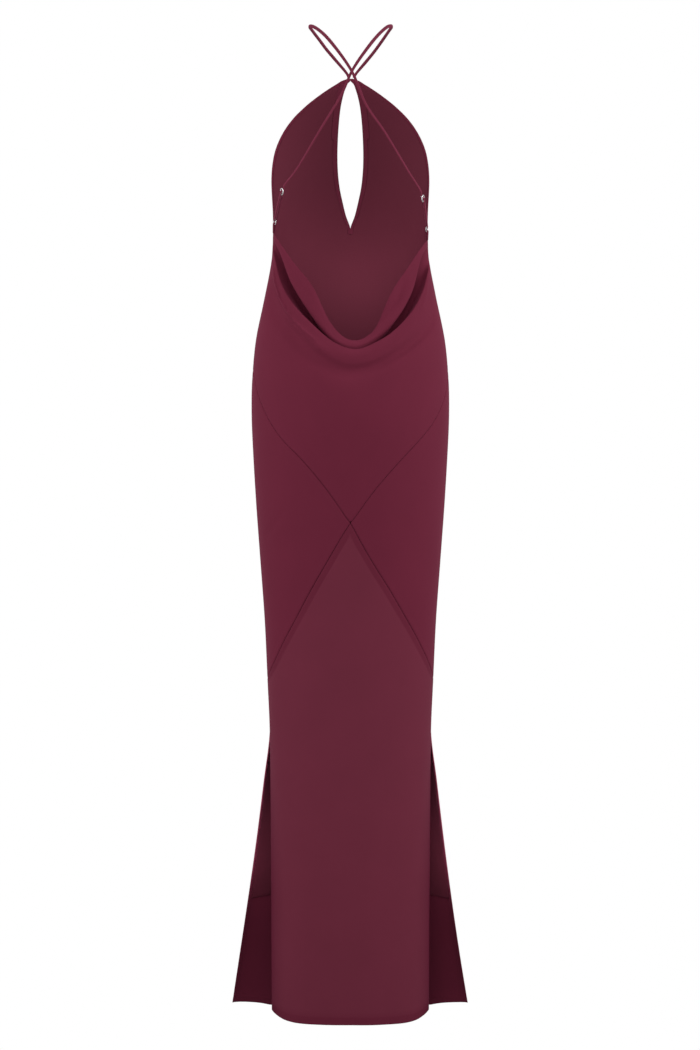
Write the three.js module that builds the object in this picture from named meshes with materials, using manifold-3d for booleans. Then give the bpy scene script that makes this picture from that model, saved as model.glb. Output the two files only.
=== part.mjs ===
// A halter maxi dress in crepe, filled out as it is worn: a plain front with a keyhole under the throat,
// an open back with a deep cowl, a pointed centre skirt between two side pieces, and two side slits.
// Millimetres, +Z up. The wearer faces -Y, and their left is +X. The origin is inside the neck, level
// with the tops of the two straps, which cross at the nape and end in a slider and a ring on each side.
import * as THREE from 'three';
import { mergeVertices } from 'three/addons/utils/BufferGeometryUtils.js';
import Module from 'manifold-3d';

// Cloth and seams
const SHELL_WALL = 1.5;
const INNER_WALL = 1;
const SEAM_GAP = 0.3;
const HALF_GAP = SEAM_GAP / 2;

// Levels down the dress
const THROAT_Z = -68.7;
const KEYHOLE_FOOT_Z = -306.7;
const TACK_HEIGHT = 10;
const SLIT_TOP_Z = -1125;
const LINING_HEM_Z = -1400;
const FRONT_HEM_Z = -1569.5;
const BACK_HEM_Z = -1573;
const HEM_DIP_START_Z = -1400;

// Strips that follow the edge of the front
const TACK_HALF_WIDTH = 4.5;
const THROAT_FACING = 11;
const THROAT_FACING_END_Z = -162;
const FACING = 8;
const FOOT_FACING = 4.8;
const EDGE_ROLL = 4.5;
const SLIT_HEM = 11;

// Sections of the body of the dress: half width, depth at centre back, and how square the back is
const bodySections = [
  { z: -330, half: 124, back: 70, square: 2.1 },
  { z: -373, half: 126, back: 77, square: 2.1 },
  { z: -437, half: 138, back: 90, square: 2.1 },
  { z: -501, half: 151, back: 101, square: 2.1 },
  { z: -565, half: 157, back: 112, square: 2.1 },
  { z: -613, half: 158, back: 117, square: 2.1 },
  { z: -661, half: 156.5, back: 117.5, square: 2.1 },
  { z: -757, half: 151, back: 110, square: 2.1 },
  { z: -853, half: 144, back: 101, square: 2.12 },
  { z: -949, half: 137, back: 96, square: 2.15 },
  { z: -1045, half: 132.5, back: 94, square: 2.2 },
  { z: -1125, half: 129, back: 93, square: 2.25 },
  { z: -1300, half: 127, back: 94, square: 2.35 },
  { z: -1573, half: 125.5, back: 98, square: 2.5 },
];

// Rows of the front: where its edge is, its depth at centre front, how round the row is (1 is a half
// ellipse, 0 a shallow bow) and half the width of the keyhole
const frontRows = [
  { z: -68.7, edge: 3, edgeY: -62, front: 62, round: 0, hole: 0 },
  { z: -72.6, edge: 14, edgeY: -62, front: 62.2, round: 0, hole: 0 },
  { z: -77.4, edge: 22, edgeY: -62, front: 63, round: 0, hole: 4.9 },
  { z: -84, edge: 32.8, edgeY: -62, front: 64, round: 0, hole: 7.9 },
  { z: -96, edge: 50.4, edgeY: -61, front: 68.5, round: 0, hole: 12.1 },
  { z: -114, edge: 72.8, edgeY: -59, front: 75.6, round: 0, hole: 16.2 },
  { z: -138, edge: 95.9, edgeY: -56, front: 85.2, round: 0, hole: 19.1 },
  { z: -162, edge: 111.5, edgeY: -51.7, front: 94.9, round: 0.02, hole: 20.8 },
  { z: -187, edge: 121.7, edgeY: -46.5, front: 103.6, round: 0.06, hole: 21.6 },
  { z: -212, edge: 126.4, edgeY: -40, front: 110.3, round: 0.15, hole: 20.9 },
  { z: -238, edge: 127.8, edgeY: -32.3, front: 114.9, round: 0.32, hole: 18.1 },
  { z: -264, edge: 126.7, edgeY: -23, front: 116.8, round: 0.54, hole: 12.6 },
  { z: -285, edge: 125.2, edgeY: -15, front: 115.4, round: 0.72, hole: 7.4 },
  { z: -306.7, edge: 124.2, edgeY: -7, front: 112, round: 0.88, hole: 0 },
  { z: -330, edge: 124, edgeY: 0, front: 107, round: 1, hole: 0 },
  { z: -373, edge: 126, edgeY: 0, front: 97, round: 1, hole: 0 },
  { z: -437, edge: 138, edgeY: 0, front: 94, round: 1, hole: 0 },
  { z: -501, edge: 151, edgeY: 0, front: 99, round: 1, hole: 0 },
  { z: -565, edge: 157, edgeY: 0, front: 104.5, round: 1, hole: 0 },
  { z: -613, edge: 158, edgeY: 0, front: 107, round: 1, hole: 0 },
  { z: -661, edge: 156.5, edgeY: 0, front: 107, round: 1, hole: 0 },
  { z: -757, edge: 151, edgeY: 0, front: 104, round: 1, hole: 0 },
  { z: -853, edge: 144, edgeY: 0, front: 101, round: 1, hole: 0 },
  { z: -949, edge: 137, edgeY: 0, front: 98.5, round: 1, hole: 0 },
  { z: -1045, edge: 132.5, edgeY: 0, front: 98, round: 1, hole: 0 },
  { z: -1125, edge: 129, edgeY: 0, front: 98, round: 1, hole: 0 },
  { z: -1205, edge: 138.5, edgeY: -5.2, front: 99.5, round: 0.86, hole: 0 },
  { z: -1300, edge: 150.5, edgeY: -13, front: 102, round: 0.66, hole: 0 },
  { z: -1400, edge: 164.7, edgeY: -22.7, front: 105, round: 0.5, hole: 0 },
  { z: -1500, edge: 179.7, edgeY: -33, front: 109, round: 0.4, hole: 0 },
  { z: -1569.5, edge: 190.6, edgeY: -40, front: 112, round: 0.35, hole: 0 },
];

// How far the front's hem dips below its corners, by the share of the way out to them (z is -share), and
// how far the back's hem is lifted near its corners, by the degrees from a side seam (z is -degrees)
const frontHemDip = [
  { z: 0, dip: 17 },
  { z: -0.5, dip: 16.8 },
  { z: -0.675, dip: 15.3 },
  { z: -0.76, dip: 10.6 },
  { z: -0.833, dip: 7.2 },
  { z: -1, dip: 1 },
];
const backHemLift = [
  { z: 0, lift: 1.5 },
  { z: -6, lift: 4.4 },
  { z: -13, lift: 5.4 },
  { z: -22, lift: 4.5 },
  { z: -30, lift: 2.7 },
  { z: -38, lift: 0.7 },
  { z: -51, lift: -0.6 },
  { z: -70, lift: -0.3 },
  { z: -90, lift: 0 },
];

// The upper and the lower seam of each side piece, as degrees round the back from the side seams
const upperSeam = [
  { z: -548, left: 0, right: 0 },
  { z: -556, left: 9, right: 6 },
  { z: -568, left: 15.5, right: 11 },
  { z: -600, left: 26, right: 21.5 },
  { z: -638, left: 38.4, right: 35.5 },
  { z: -667, left: 49.4, right: 48.2 },
  { z: -692, left: 60.4, right: 58.8 },
  { z: -718, left: 69.6, right: 68.4 },
  { z: -750, left: 79.1, right: 78.5 },
  { z: -794, left: 90, right: 90 },
];
const lowerSeam = [
  { z: -794, left: 90, right: 90 },
  { z: -829, left: 82.3, right: 83.2 },
  { z: -864, left: 74.2, right: 75 },
  { z: -900, left: 65, right: 65 },
  { z: -926, left: 58, right: 57.4 },
  { z: -951, left: 50.6, right: 49.2 },
  { z: -986, left: 38.2, right: 36 },
  { z: -1012, left: 27.2, right: 24 },
  { z: -1032, left: 14.5, right: 12 },
  { z: -1042, left: 0, right: 0 },
];

// The folds of the cowl from its top edge down. left and right are a fold's heights at its lowest point
// and at the shares FOLD_REACH of the way out to the side seam. sunkLeft and sunkRight are how deep it
// lies there below a smooth bow, whose lowest point is at x and y and whose roundness is bow.
const FOLD_REACH = [0, 0.25, 0.5, 0.75, 0.9, 1];
const cowlFolds = [
  {
    left: [-509, -487, -423, -380, -350, -330],
    right: [-509, -492, -431, -385, -357, -341],
    sunkLeft: [0, 0, 0, 0, 0, 0],
    sunkRight: [0, 0, 0, 0, 0, 0],
    x: -6,
    y: 84,
    bow: 1.6,
  },
  {
    left: [-514, -498, -444, -394, -354, -335],
    right: [-514, -502, -461, -409, -364, -346],
    sunkLeft: [0, 0, -1, -1, 0, 0],
    sunkRight: [0, 0, -1, -1, 0, 0],
    x: -6,
    y: 90,
    bow: 1.62,
  },
  {
    left: [-521, -507, -465, -410, -362, -339],
    right: [-521, -511, -485, -433, -372, -350],
    sunkLeft: [0, -1, -2, -2, 0, 0],
    sunkRight: [0, 0, -2, -2, 0, 0],
    x: -6,
    y: 93,
    bow: 1.62,
  },
  {
    left: [-546, -532, -476, -420, -369, -342],
    right: [-547, -535, -493, -440, -380, -354],
    sunkLeft: [0, 4, 16, 19, 14, 0],
    sunkRight: [0, 3, 8, 12, 9, 0],
    x: -7,
    y: 94,
    bow: 1.6,
  },
  {
    left: [-540, -526, -483, -436, -393, -347],
    right: [-540, -526, -492, -455, -408, -368],
    sunkLeft: [0, 3, 10, 13, 9, 0],
    sunkRight: [0, 2, 7, 9, 6, 0],
    x: -8,
    y: 97,
    bow: 1.72,
  },
  {
    left: [-524, -510, -480, -440, -401, -353],
    right: [-524, -513, -492, -461, -430, -385],
    sunkLeft: [0, 0, 0, 0, 0, 0],
    sunkRight: [0, 0, 0, -1, -1, 0],
    x: -9,
    y: 100.5,
    bow: 1.85,
  },
  {
    left: [-531, -519, -492, -456, -419, -367],
    right: [-531, -525, -504, -476, -445, -398],
    sunkLeft: [0, 0, 0, 0, 0, 0],
    sunkRight: [0, 0, 0, -1, -1, 0],
    x: -6,
    y: 105.5,
    bow: 1.95,
  },
  {
    left: [-546, -532, -506, -471, -435, -386],
    right: [-546, -540, -520, -492, -462, -417],
    sunkLeft: [0, -1, -3, -3, -1, 0],
    sunkRight: [0, 0, 0, 0, 0, 0],
    x: -2,
    y: 107,
    bow: 2,
  },
  {
    left: [-557, -546, -520, -485, -454, -408],
    right: [-557, -551, -533, -506, -478, -440],
    sunkLeft: [0, 0, 1, 2, 1, 0],
    sunkRight: [0, 0, 0, 0, 0, 0],
    x: 0,
    y: 104.5,
    bow: 1.98,
  },
  {
    left: [-576, -569, -547, -511, -484, -446],
    right: [-576, -568, -546, -518, -495, -466],
    sunkLeft: [0, 0, 0, 0, 0, 0],
    sunkRight: [0, 0, 0, 0, 0, 0],
    x: 0,
    y: 111,
    bow: 2.05,
  },
  {
    left: [-601, -595, -576, -546, -525, -498],
    right: [-601, -594, -575, -549, -531, -506],
    sunkLeft: [0, 0, 0, 0, 0, 0],
    sunkRight: [0, 0, 0, 0, 0, 0],
    x: 0,
    y: 115.5,
    bow: 2.1,
  },
];
// Rows of the sheet from each fold to the next, and from the last fold down to the seams
const COWL_FOLD_STEPS = [2, 1, 2, 1, 2, 1, 2, 2, 2, 2];
const COWL_BODY_STEPS = 4;
// Between these rows the folds settle onto the body
const COWL_SETTLING = { from: 8.4, to: 10 };

// Straps, sliders and rings
const NECK_STRAP = { width: 5, thick: 4.2 };
const STRAP_END = { width: 4.4, thick: 3.2 };
const STRAP = { width: 3.8, thick: 1.5 };
const TAB = { width: 3.6, thick: 1.3 };
const SLIDER = { halfLength: 5.3, halfWidth: 4.8, wire: 0.7, bar: 0.6 };
const RING = { radius: 3.9, wire: 0.65 };

// The route of each strap, by hand, from the throat round the neck and across the back to its slider
const strapRoutes = {
  strap_left: [
    [-5.4, -61.4, -67.6], [-9.6, -61.4, -60.5], [-23.6, -58, -44.5], [-38, -51, -28.5],
    [-50, -40, -14.5], [-61, -22, -2.5], [-66.2, -2, 1.2], [-59.5, 15, -3.2],
    [-46.4, 30, -17.6], [-28.7, 46.5, -42.4], [-3.3, 60.5, -82.6], [13.5, 70, -122],
    [46.8, 80, -179.4], [85.5, 70, -241.9],
  ],
  strap_right: [
    [2.8, -61.4, -66.6], [5.6, -61.4, -61], [26.4, -57, -37.2], [39, -50.5, -23.8],
    [49.6, -41.5, -11.6], [60, -24, -1.8], [65.2, -3, 1.3], [58.8, 14, -3],
    [46.8, 28, -14.3], [31.2, 44, -34], [-2.2, 65.6, -85.8], [-25, 76, -140.8],
    [-53, 82, -183], [-90.3, 71, -242.4],
  ],
};
const hardwarePlaces = {
  left: { slider: [108, 51, -272], ring: [120.5, 13, -314], corner: [122.6, 4.6, -330.2] },
  right: { slider: [-114.5, 46, -282], ring: [-121.8, 13, -325.5], corner: [-122.8, 4.6, -341.4] },
};

// Colours
const crepe = () => new THREE.MeshStandardMaterial({ color: 0x66283b, roughness: 0.85, metalness: 0 });
const liningCloth = () => new THREE.MeshStandardMaterial({ color: 0x5b2834, roughness: 0.8, metalness: 0 });
const silver = () => new THREE.MeshStandardMaterial({ color: 0xc9c9cc, roughness: 0.25, metalness: 1 });

const radians = THREE.MathUtils.degToRad;
const clamp01 = (value) => Math.min(Math.max(value, 0), 1);
const signedPower = (value, power) => Math.sign(value) * Math.abs(value) ** power;

// The value of one column of a table at height z, on a smooth curve through the table's rows
function smoothAt(table, column, z) {
  const last = table.length - 1;
  if (z >= table[0].z) return table[0][column];
  if (z <= table[last].z) return table[last][column];
  let i = 0;
  while (table[i + 1].z > z) i += 1;
  const slope = (j) => {
    const a = table[Math.max(j - 1, 0)];
    const b = table[Math.min(j + 1, last)];
    return (b[column] - a[column]) / (b.z - a.z);
  };
  const step = table[i + 1].z - table[i].z;
  const t = (z - table[i].z) / step;
  const h = 3 * t * t - 2 * t * t * t;
  return table[i][column] * (1 - h) + table[i + 1][column] * h
    + step * t * (1 - t) * ((1 - t) * slope(i) - t * slope(i + 1));
}

// A point of the back, at an angle round from the left side seam (0) to the right side seam (180)
function backPoint(angle, z) {
  const power = 2 / smoothAt(bodySections, 'square', z);
  const x = smoothAt(bodySections, 'half', z) * signedPower(Math.cos(radians(angle)), power);
  const y = smoothAt(bodySections, 'back', z) * signedPower(Math.sin(radians(angle)), power);
  return new THREE.Vector3(x, y, z);
}

// How far round the back, in degrees, the point at x on the row at height z lies
function backAngle(x, z) {
  const power = smoothAt(bodySections, 'square', z) / 2;
  const share = x / smoothAt(bodySections, 'half', z);
  return THREE.MathUtils.radToDeg(Math.acos(signedPower(Math.min(Math.max(share, -1), 1), power)));
}

// The direction a surface faces, from two small steps along it
function facing(surface, a, b, stepA, stepB) {
  const along = surface(a + stepA, b).sub(surface(a - stepA, b));
  const up = surface(a, b + stepB).sub(surface(a, b - stepB));
  return along.cross(up).normalize();
}

// Steps used for a facing: in degrees, in shares and in height
const ANGLE_STEP = 0.02;
const SHARE_STEP = 0.002;
const HEIGHT_STEP = 0.05;

const backFacing = (angle, z) => facing(backPoint, angle, z, ANGLE_STEP, HEIGHT_STEP);

// A point of the left half of the front. share runs from the centre or the keyhole (0) to the edge (1).
function frontPoint(share, z) {
  const edge = smoothAt(frontRows, 'edge', z);
  const hole = Math.max(smoothAt(frontRows, 'hole', z), 0);
  const round = smoothAt(frontRows, 'round', z);
  const square = 2.1;
  const x = hole + (edge - hole) * Math.sin(radians(90 * share)) ** (2 / square);
  const part = x / edge;
  const bow = round * (1 - part ** square) ** (1 / square) + (1 - round) * (1 - part * part);
  const edgeY = smoothAt(frontRows, 'edgeY', z);
  const y = edgeY - (smoothAt(frontRows, 'front', z) + edgeY) * bow;
  const dipping = clamp01((HEM_DIP_START_Z - z) / (HEM_DIP_START_Z - FRONT_HEM_Z));
  return new THREE.Vector3(x, y, z - dipping * smoothAt(frontHemDip, 'dip', -part));
}

function frontFacing(share, z) {
  const middle = Math.min(Math.max(share, 0), 1 - SHARE_STEP / 2);
  const clamped = (a, b) => frontPoint(clamp01(a), b);
  const found = facing(clamped, middle, z, SHARE_STEP, HEIGHT_STEP);
  if (share === 0 && smoothAt(frontRows, 'hole', z) <= 0) found.x = 0;
  return found.normalize();
}

// The share at which the front is so many millimetres from its centre or keyhole (end 0) or its edge (1)
function shareFrom(end, distance, z) {
  const start = frontPoint(end, z);
  let near = end;
  let far = 1 - end;
  for (let i = 0; i < 30; i += 1) {
    const middle = (near + far) / 2;
    if (frontPoint(middle, z).distanceTo(start) < distance) near = middle;
    else far = middle;
  }
  return (near + far) / 2;
}

// A sheet gathers points, the way each faces, and triangles. Points at one place are one point.
class Sheet {
  constructor() {
    this.points = [];
    this.normals = [];
    this.triangles = [];
    this.known = new Map();
  }

  add(point, normal) {
    const key = point.toArray().map((value) => Math.round(value * 200)).join();
    if (!this.known.has(key)) {
      this.known.set(key, this.points.length);
      this.points.push(point.clone());
      this.normals.push(normal.clone());
    }
    return this.known.get(key);
  }

  triangle(a, b, c) {
    if (a !== b && b !== c && c !== a) this.triangles.push([a, b, c]);
  }

  // Adds a grid of { point, normal } rows, leaving out the cells that keep() refuses
  grid(rows, turned, keep = () => true) {
    const index = rows.map((row) => row.map((cell) => this.add(cell.point, cell.normal)));
    for (let r = 0; r + 1 < rows.length; r += 1) {
      for (let c = 0; c + 1 < rows[r].length; c += 1) {
        if (!keep(r, c)) continue;
        const [a, b, d, e] = [index[r][c], index[r][c + 1], index[r + 1][c], index[r + 1][c + 1]];
        if (turned) {
          this.triangle(a, d, b);
          this.triangle(b, d, e);
        } else {
          this.triangle(a, b, d);
          this.triangle(b, e, d);
        }
      }
    }
  }

  // The edges that belong to one triangle only, in that triangle's direction
  border() {
    const edges = new Map();
    for (const [a, b, c] of this.triangles) {
      for (const [from, to, third] of [[a, b, c], [b, c, a], [c, a, b]]) {
        if (!edges.delete(`${to},${from}`)) edges.set(`${from},${to}`, [from, to, third]);
      }
    }
    return [...edges.values()];
  }

  // Draws every border point in from the edge, so that the neighbour across the seam stays clear
  trim(gap) {
    const inward = new Map();
    for (const [from, to, third] of this.border()) {
      const edge = this.points[to].clone().sub(this.points[from]).normalize();
      const inside = this.points[third].clone().sub(this.points[from]);
      inside.addScaledVector(edge, -inside.dot(edge)).normalize();
      for (const end of [from, to]) inward.set(end, [...(inward.get(end) ?? []), inside]);
    }
    for (const [point, [first, second]] of inward) {
      const shared = Math.max(1 + first.dot(second), 0.5);
      this.points[point].add(first.clone().add(second).multiplyScalar(gap / shared));
    }
    return this;
  }

  // A closed wall, from depth below the sheet to depth + thickness below it
  wall(depth, thickness) {
    const count = this.points.length;
    const positions = [];
    for (const below of [depth, depth + thickness]) {
      this.points.forEach((point, i) => {
        positions.push(...point.clone().addScaledVector(this.normals[i], -below).toArray());
      });
    }
    const index = [];
    for (const [a, b, c] of this.triangles) index.push(a, b, c, a + count, c + count, b + count);
    for (const [from, to] of this.border()) {
      index.push(to, from, from + count, to, from + count, to + count);
    }
    const geometry = new THREE.BufferGeometry();
    geometry.setAttribute('position', new THREE.Float32BufferAttribute(positions, 3));
    geometry.setIndex(index);
    return geometry;
  }
}

const evenly = (count) => Array.from({ length: count + 1 }, (_, i) => i / count);

// The strip beside the keyhole, and the strip along the outer edge, of the front at each height
function facingWidth(z) {
  if (z <= KEYHOLE_FOOT_Z) return TACK_HALF_WIDTH;
  if (z > THROAT_FACING_END_Z) return THROAT_FACING;
  const down = (THROAT_FACING_END_Z - z) / (THROAT_FACING_END_Z - KEYHOLE_FOOT_Z);
  return THREE.MathUtils.lerp(FACING, FOOT_FACING, clamp01(down * 2 - 1));
}
const edgeWidth = (z) => THREE.MathUtils.lerp(EDGE_ROLL, SLIT_HEM, clamp01((SLIT_TOP_Z - z) / 60));

// The front's own grid, which the lining and the keyhole facing share
const TACK_FOOT_Z = KEYHOLE_FOOT_Z - TACK_HEIGHT;
const FACING_STEP = 0.6;
const FRONT_COLUMNS = 8;

function frontHeights() {
  const rows = frontRows.map((row) => row.z);
  rows.push(THROAT_FACING_END_Z - FACING_STEP, TACK_FOOT_Z, TACK_FOOT_Z - FACING_STEP);
  return rows.sort((a, b) => b - a);
}

function frontStops(z) {
  const first = shareFrom(0, Math.min(facingWidth(z), smoothAt(frontRows, 'edge', z) / 3), z);
  const last = shareFrom(1, Math.min(edgeWidth(z), smoothAt(frontRows, 'edge', z) / 3), z);
  const spread = clamp01((TACK_FOOT_Z - z) / 60);
  const even = last / (FRONT_COLUMNS - 1);
  const start = THREE.MathUtils.lerp(first, even, spread);
  const inner = evenly(FRONT_COLUMNS - 2).map((part) => THREE.MathUtils.lerp(start, last, part));
  return [0, ...inner, 1];
}

const frontZ = frontHeights();
const frontGrid = frontZ.map((z) => frontStops(z).map((share) => ({
  point: frontPoint(share, z),
  normal: frontFacing(share, z),
})));
const mirrored = (rows) => rows.map((row) => row.map(({ point, normal }) => ({
  point: new THREE.Vector3(-point.x, point.y, point.z),
  normal: new THREE.Vector3(-normal.x, normal.y, normal.z),
})));

function frontSheet(keep) {
  const sheet = new Sheet();
  sheet.grid(frontGrid, true, keep);
  sheet.grid(mirrored(frontGrid), false, keep);
  return sheet;
}

const LAST_COLUMN = FRONT_COLUMNS - 1;
const inFacing = (r, c) => c === 0 && frontZ[r] <= -77 && frontZ[r] > TACK_FOOT_Z;
const inLining = (r, c) => frontZ[r] <= -84 && frontZ[r] > LINING_HEM_Z && c < LAST_COLUMN
  && (c > 0 || frontZ[r] <= TACK_FOOT_Z);

const frontPanel = () => frontSheet(() => true).trim(HALF_GAP).wall(0, SHELL_WALL);
const keyholeFacing = () => frontSheet(inFacing).trim(HALF_GAP).wall(SHELL_WALL + SEAM_GAP, INNER_WALL);
const frontLining = () => frontSheet(inLining).trim(HALF_GAP).wall(SHELL_WALL + SEAM_GAP, INNER_WALL);

// The side pieces and the skirt lie on the back's rows, between seams given in degrees
const SIDE_COLUMNS = 5;
const SKIRT_COLUMNS = 14;
const SKIRT_LEVELS = [-1084, -1125, -1180, -1240, -1300, -1370, -1440, -1510, BACK_HEM_Z];

function backRow(z, fromAngle, toAngle, columns) {
  return evenly(columns).map((part) => {
    const angle = THREE.MathUtils.lerp(fromAngle, toAngle, part);
    return { point: backPoint(angle, z), normal: backFacing(angle, z) };
  });
}

function sidePiece(side) {
  const seam = [...upperSeam, ...lowerSeam.slice(1)];
  const rows = seam.map((row) => {
    const inner = side === 'left' ? row.left : 180 - row.right;
    return backRow(row.z, side === 'left' ? 0 : 180, inner, SIDE_COLUMNS);
  });
  const sheet = new Sheet();
  sheet.grid(rows, side === 'left');
  return sheet.trim(HALF_GAP).wall(0, SHELL_WALL);
}

function backSkirt() {
  const rows = lowerSeam.map((row) => backRow(row.z, row.left, 180 - row.right, SKIRT_COLUMNS));
  for (const z of SKIRT_LEVELS) rows.push(backRow(z, 0, 180, SKIRT_COLUMNS));
  rows[rows.length - 1].forEach(({ point }, i) => {
    const angle = (180 * i) / SKIRT_COLUMNS;
    point.z += smoothAt(backHemLift, 'lift', -Math.min(angle, 180 - angle));
  });
  const sheet = new Sheet();
  sheet.grid(rows, true);
  return sheet.trim(HALF_GAP).wall(0, SHELL_WALL);
}

// Where a fold of the cowl passes, part of the way round from the left side (0) to the right side (1)
function foldPoint(fold, part) {
  const [heights, sunk, sign] = part < 0.5
    ? [fold.left, fold.sunkLeft, 1]
    : [fold.right, fold.sunkRight, -1];
  const side = FOLD_REACH.length - 1;
  const rows = FOLD_REACH.map((reach, i) => ({ z: -reach, height: heights[i], sunk: sunk[i] }));
  rows.unshift({ z: FOLD_REACH[1], height: heights[1], sunk: sunk[1] });
  const reach = Math.abs(Math.cos(Math.PI * part)) ** (2 / fold.bow);
  const width = sign * smoothAt(bodySections, 'half', heights[side]) - fold.x;
  const x = width * reach;
  const y = fold.y * Math.abs(Math.sin(Math.PI * part)) ** (2 / fold.bow);
  const square = new THREE.Vector2(x / width ** 2, y / fold.y ** 2).normalize();
  const depth = smoothAt(rows, 'sunk', -reach);
  return new THREE.Vector3(
    fold.x + x - square.x * depth, y - square.y * depth, smoothAt(rows, 'height', -reach));
}

// The cowl's columns end at the corners of the side pieces' upper seams, and midway between them
function cowlColumns() {
  const corners = [
    ...upperSeam.map((row) => backPoint(row.left, row.z)),
    ...upperSeam.slice(0, -1).reverse().map((row) => backPoint(180 - row.right, row.z)),
  ];
  const angles = [
    ...upperSeam.map((row) => row.left),
    ...upperSeam.slice(0, -1).reverse().map((row) => 180 - row.right),
  ];
  const columns = [];
  corners.forEach((corner, i) => {
    columns.push({ angle: angles[i], foot: corner });
    const next = corners[i + 1];
    if (next) columns.push({ angle: (angles[i] + angles[i + 1]) / 2, foot: corner.clone().lerp(next, 0.5) });
  });
  return columns;
}

// A column below the last fold: it falls from the fold to the seam, and turns from the fold's angle to
// the column's own
function belowFolds(last, { angle, foot }, share) {
  const z = THREE.MathUtils.lerp(last.z, foot.z, share);
  const along = THREE.MathUtils.smoothstep(share, 0, 1);
  const turn = THREE.MathUtils.lerp(backAngle(last.x, last.z), angle, along);
  return backPoint(turn, z);
}

function cowlColumn(column) {
  const part = column.angle / 180;
  const folds = cowlFolds.map((fold) => foldPoint(fold, part));
  const last = folds[folds.length - 1];
  const guides = [...folds, ...evenly(3).slice(1).map((share) => belowFolds(last, column, share))];
  const curve = new THREE.CatmullRomCurve3(guides, false, 'centripetal');
  const points = [];
  COWL_FOLD_STEPS.forEach((steps, i) => {
    for (let k = 0; k < steps; k += 1) {
      const stop = i + k / steps;
      const point = curve.getPoint(stop / (guides.length - 1));
      const onSide = part === 0 || part === 1;
      const settled = backPoint(onSide ? column.angle : backAngle(point.x, point.z), point.z);
      const share = THREE.MathUtils.smoothstep(stop, COWL_SETTLING.from, COWL_SETTLING.to);
      points.push(onSide ? settled : point.lerp(settled, share));
    }
  });
  evenly(COWL_BODY_STEPS).slice(0, -1).forEach((share) => points.push(belowFolds(last, column, share)));
  points.push(column.foot.clone());
  return points;
}

function backCowl() {
  const columns = cowlColumns().map(cowlColumn);
  const [lastRow, lastColumn] = [columns[0].length - 1, columns.length - 1];
  const at = (r, c) => columns[Math.min(Math.max(c, 0), lastColumn)][Math.min(Math.max(r, 0), lastRow)];
  const rows = columns[0].map((_, r) => columns.map((column, c) => {
    const point = column[r];
    if (c === 0 || c === lastColumn) return { point, normal: backFacing(c === 0 ? 0 : 180, point.z) };
    if (r === lastRow) return { point, normal: backFacing(backAngle(point.x, point.z), point.z) };
    const along = at(r, c + 1).clone().sub(at(r, c - 1));
    const down = at(r + 1, c).clone().sub(at(r - 1, c));
    return { point, normal: down.cross(along).normalize() };
  }));
  const sheet = new Sheet();
  sheet.grid(rows, true);
  return sheet.trim(HALF_GAP).wall(0, SHELL_WALL);
}

// A cord with an oval section along a route. Each stop has a point, the way its flat side faces and its
// size there.
const CORD_SIDES = 6;
const STRAP_STEPS = 80;
const TAB_STEPS = 16;

function ribbon(stops, steps) {
  const path = new THREE.CatmullRomCurve3(stops.map((stop) => stop.point), false, 'centripetal');
  const faces = new THREE.CatmullRomCurve3(stops.map((stop) => stop.face), false, 'catmullrom');
  const sizeAt = (share, name) => {
    const place = share * (stops.length - 1);
    const i = Math.min(Math.floor(place), stops.length - 2);
    return THREE.MathUtils.lerp(stops[i].size[name], stops[i + 1].size[name], place - i);
  };
  const positions = [];
  const index = [];
  for (let i = 0; i <= steps; i += 1) {
    const centre = path.getPoint(i / steps);
    const along = path.getTangent(i / steps);
    const across = along.clone().cross(faces.getPoint(i / steps)).normalize();
    const out = across.clone().cross(along).normalize();
    for (let k = 0; k < CORD_SIDES; k += 1) {
      const turn = (2 * Math.PI * k) / CORD_SIDES;
      const point = centre.clone()
        .addScaledVector(across, (Math.cos(turn) * sizeAt(i / steps, 'width')) / 2)
        .addScaledVector(out, (Math.sin(turn) * sizeAt(i / steps, 'thick')) / 2);
      positions.push(...point.toArray());
      if (i === 0) continue;
      const [a, b] = [(i - 1) * CORD_SIDES + k, (i - 1) * CORD_SIDES + ((k + 1) % CORD_SIDES)];
      index.push(a, a + CORD_SIDES, b, b, a + CORD_SIDES, b + CORD_SIDES);
    }
  }
  const last = steps * CORD_SIDES;
  for (let k = 1; k + 1 < CORD_SIDES; k += 1) {
    index.push(0, k, k + 1, last, last + k + 1, last + k);
  }
  const geometry = new THREE.BufferGeometry();
  geometry.setAttribute('position', new THREE.Float32BufferAttribute(positions, 3));
  geometry.setIndex(index);
  return geometry;
}

// The slider and ring of one side share a frame: down the strap, out from the body, and across
function hardwareFrame(side) {
  const slider = new THREE.Vector3(...hardwarePlaces[side].slider);
  const ring = new THREE.Vector3(...hardwarePlaces[side].ring);
  const down = ring.clone().sub(slider).normalize();
  const out = new THREE.Vector3(slider.x, slider.y * 1.3, 0);
  out.addScaledVector(down, -out.dot(down)).normalize();
  const across = out.clone().cross(down).normalize();
  const place = (origin, t, n) => origin.clone().addScaledVector(down, t).addScaledVector(out, n);
  return { slider, ring, down, out, across, place };
}

// The strap passes under the slider's top, over its bar and round the ring, and ends behind the bar
const NAPE_DEPTH = 120;
const WRAP_STEPS = 6;

/** A strap is round and full in its neck loop, a little thinner at the throat and below the nape, and flat
 *  where it reaches the slider. */
function neckSize(stop, stops) {
  if (stop + 1 >= stops) return STRAP;
  return stop > 1 && stop < 9 ? NECK_STRAP : STRAP_END;
}

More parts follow.
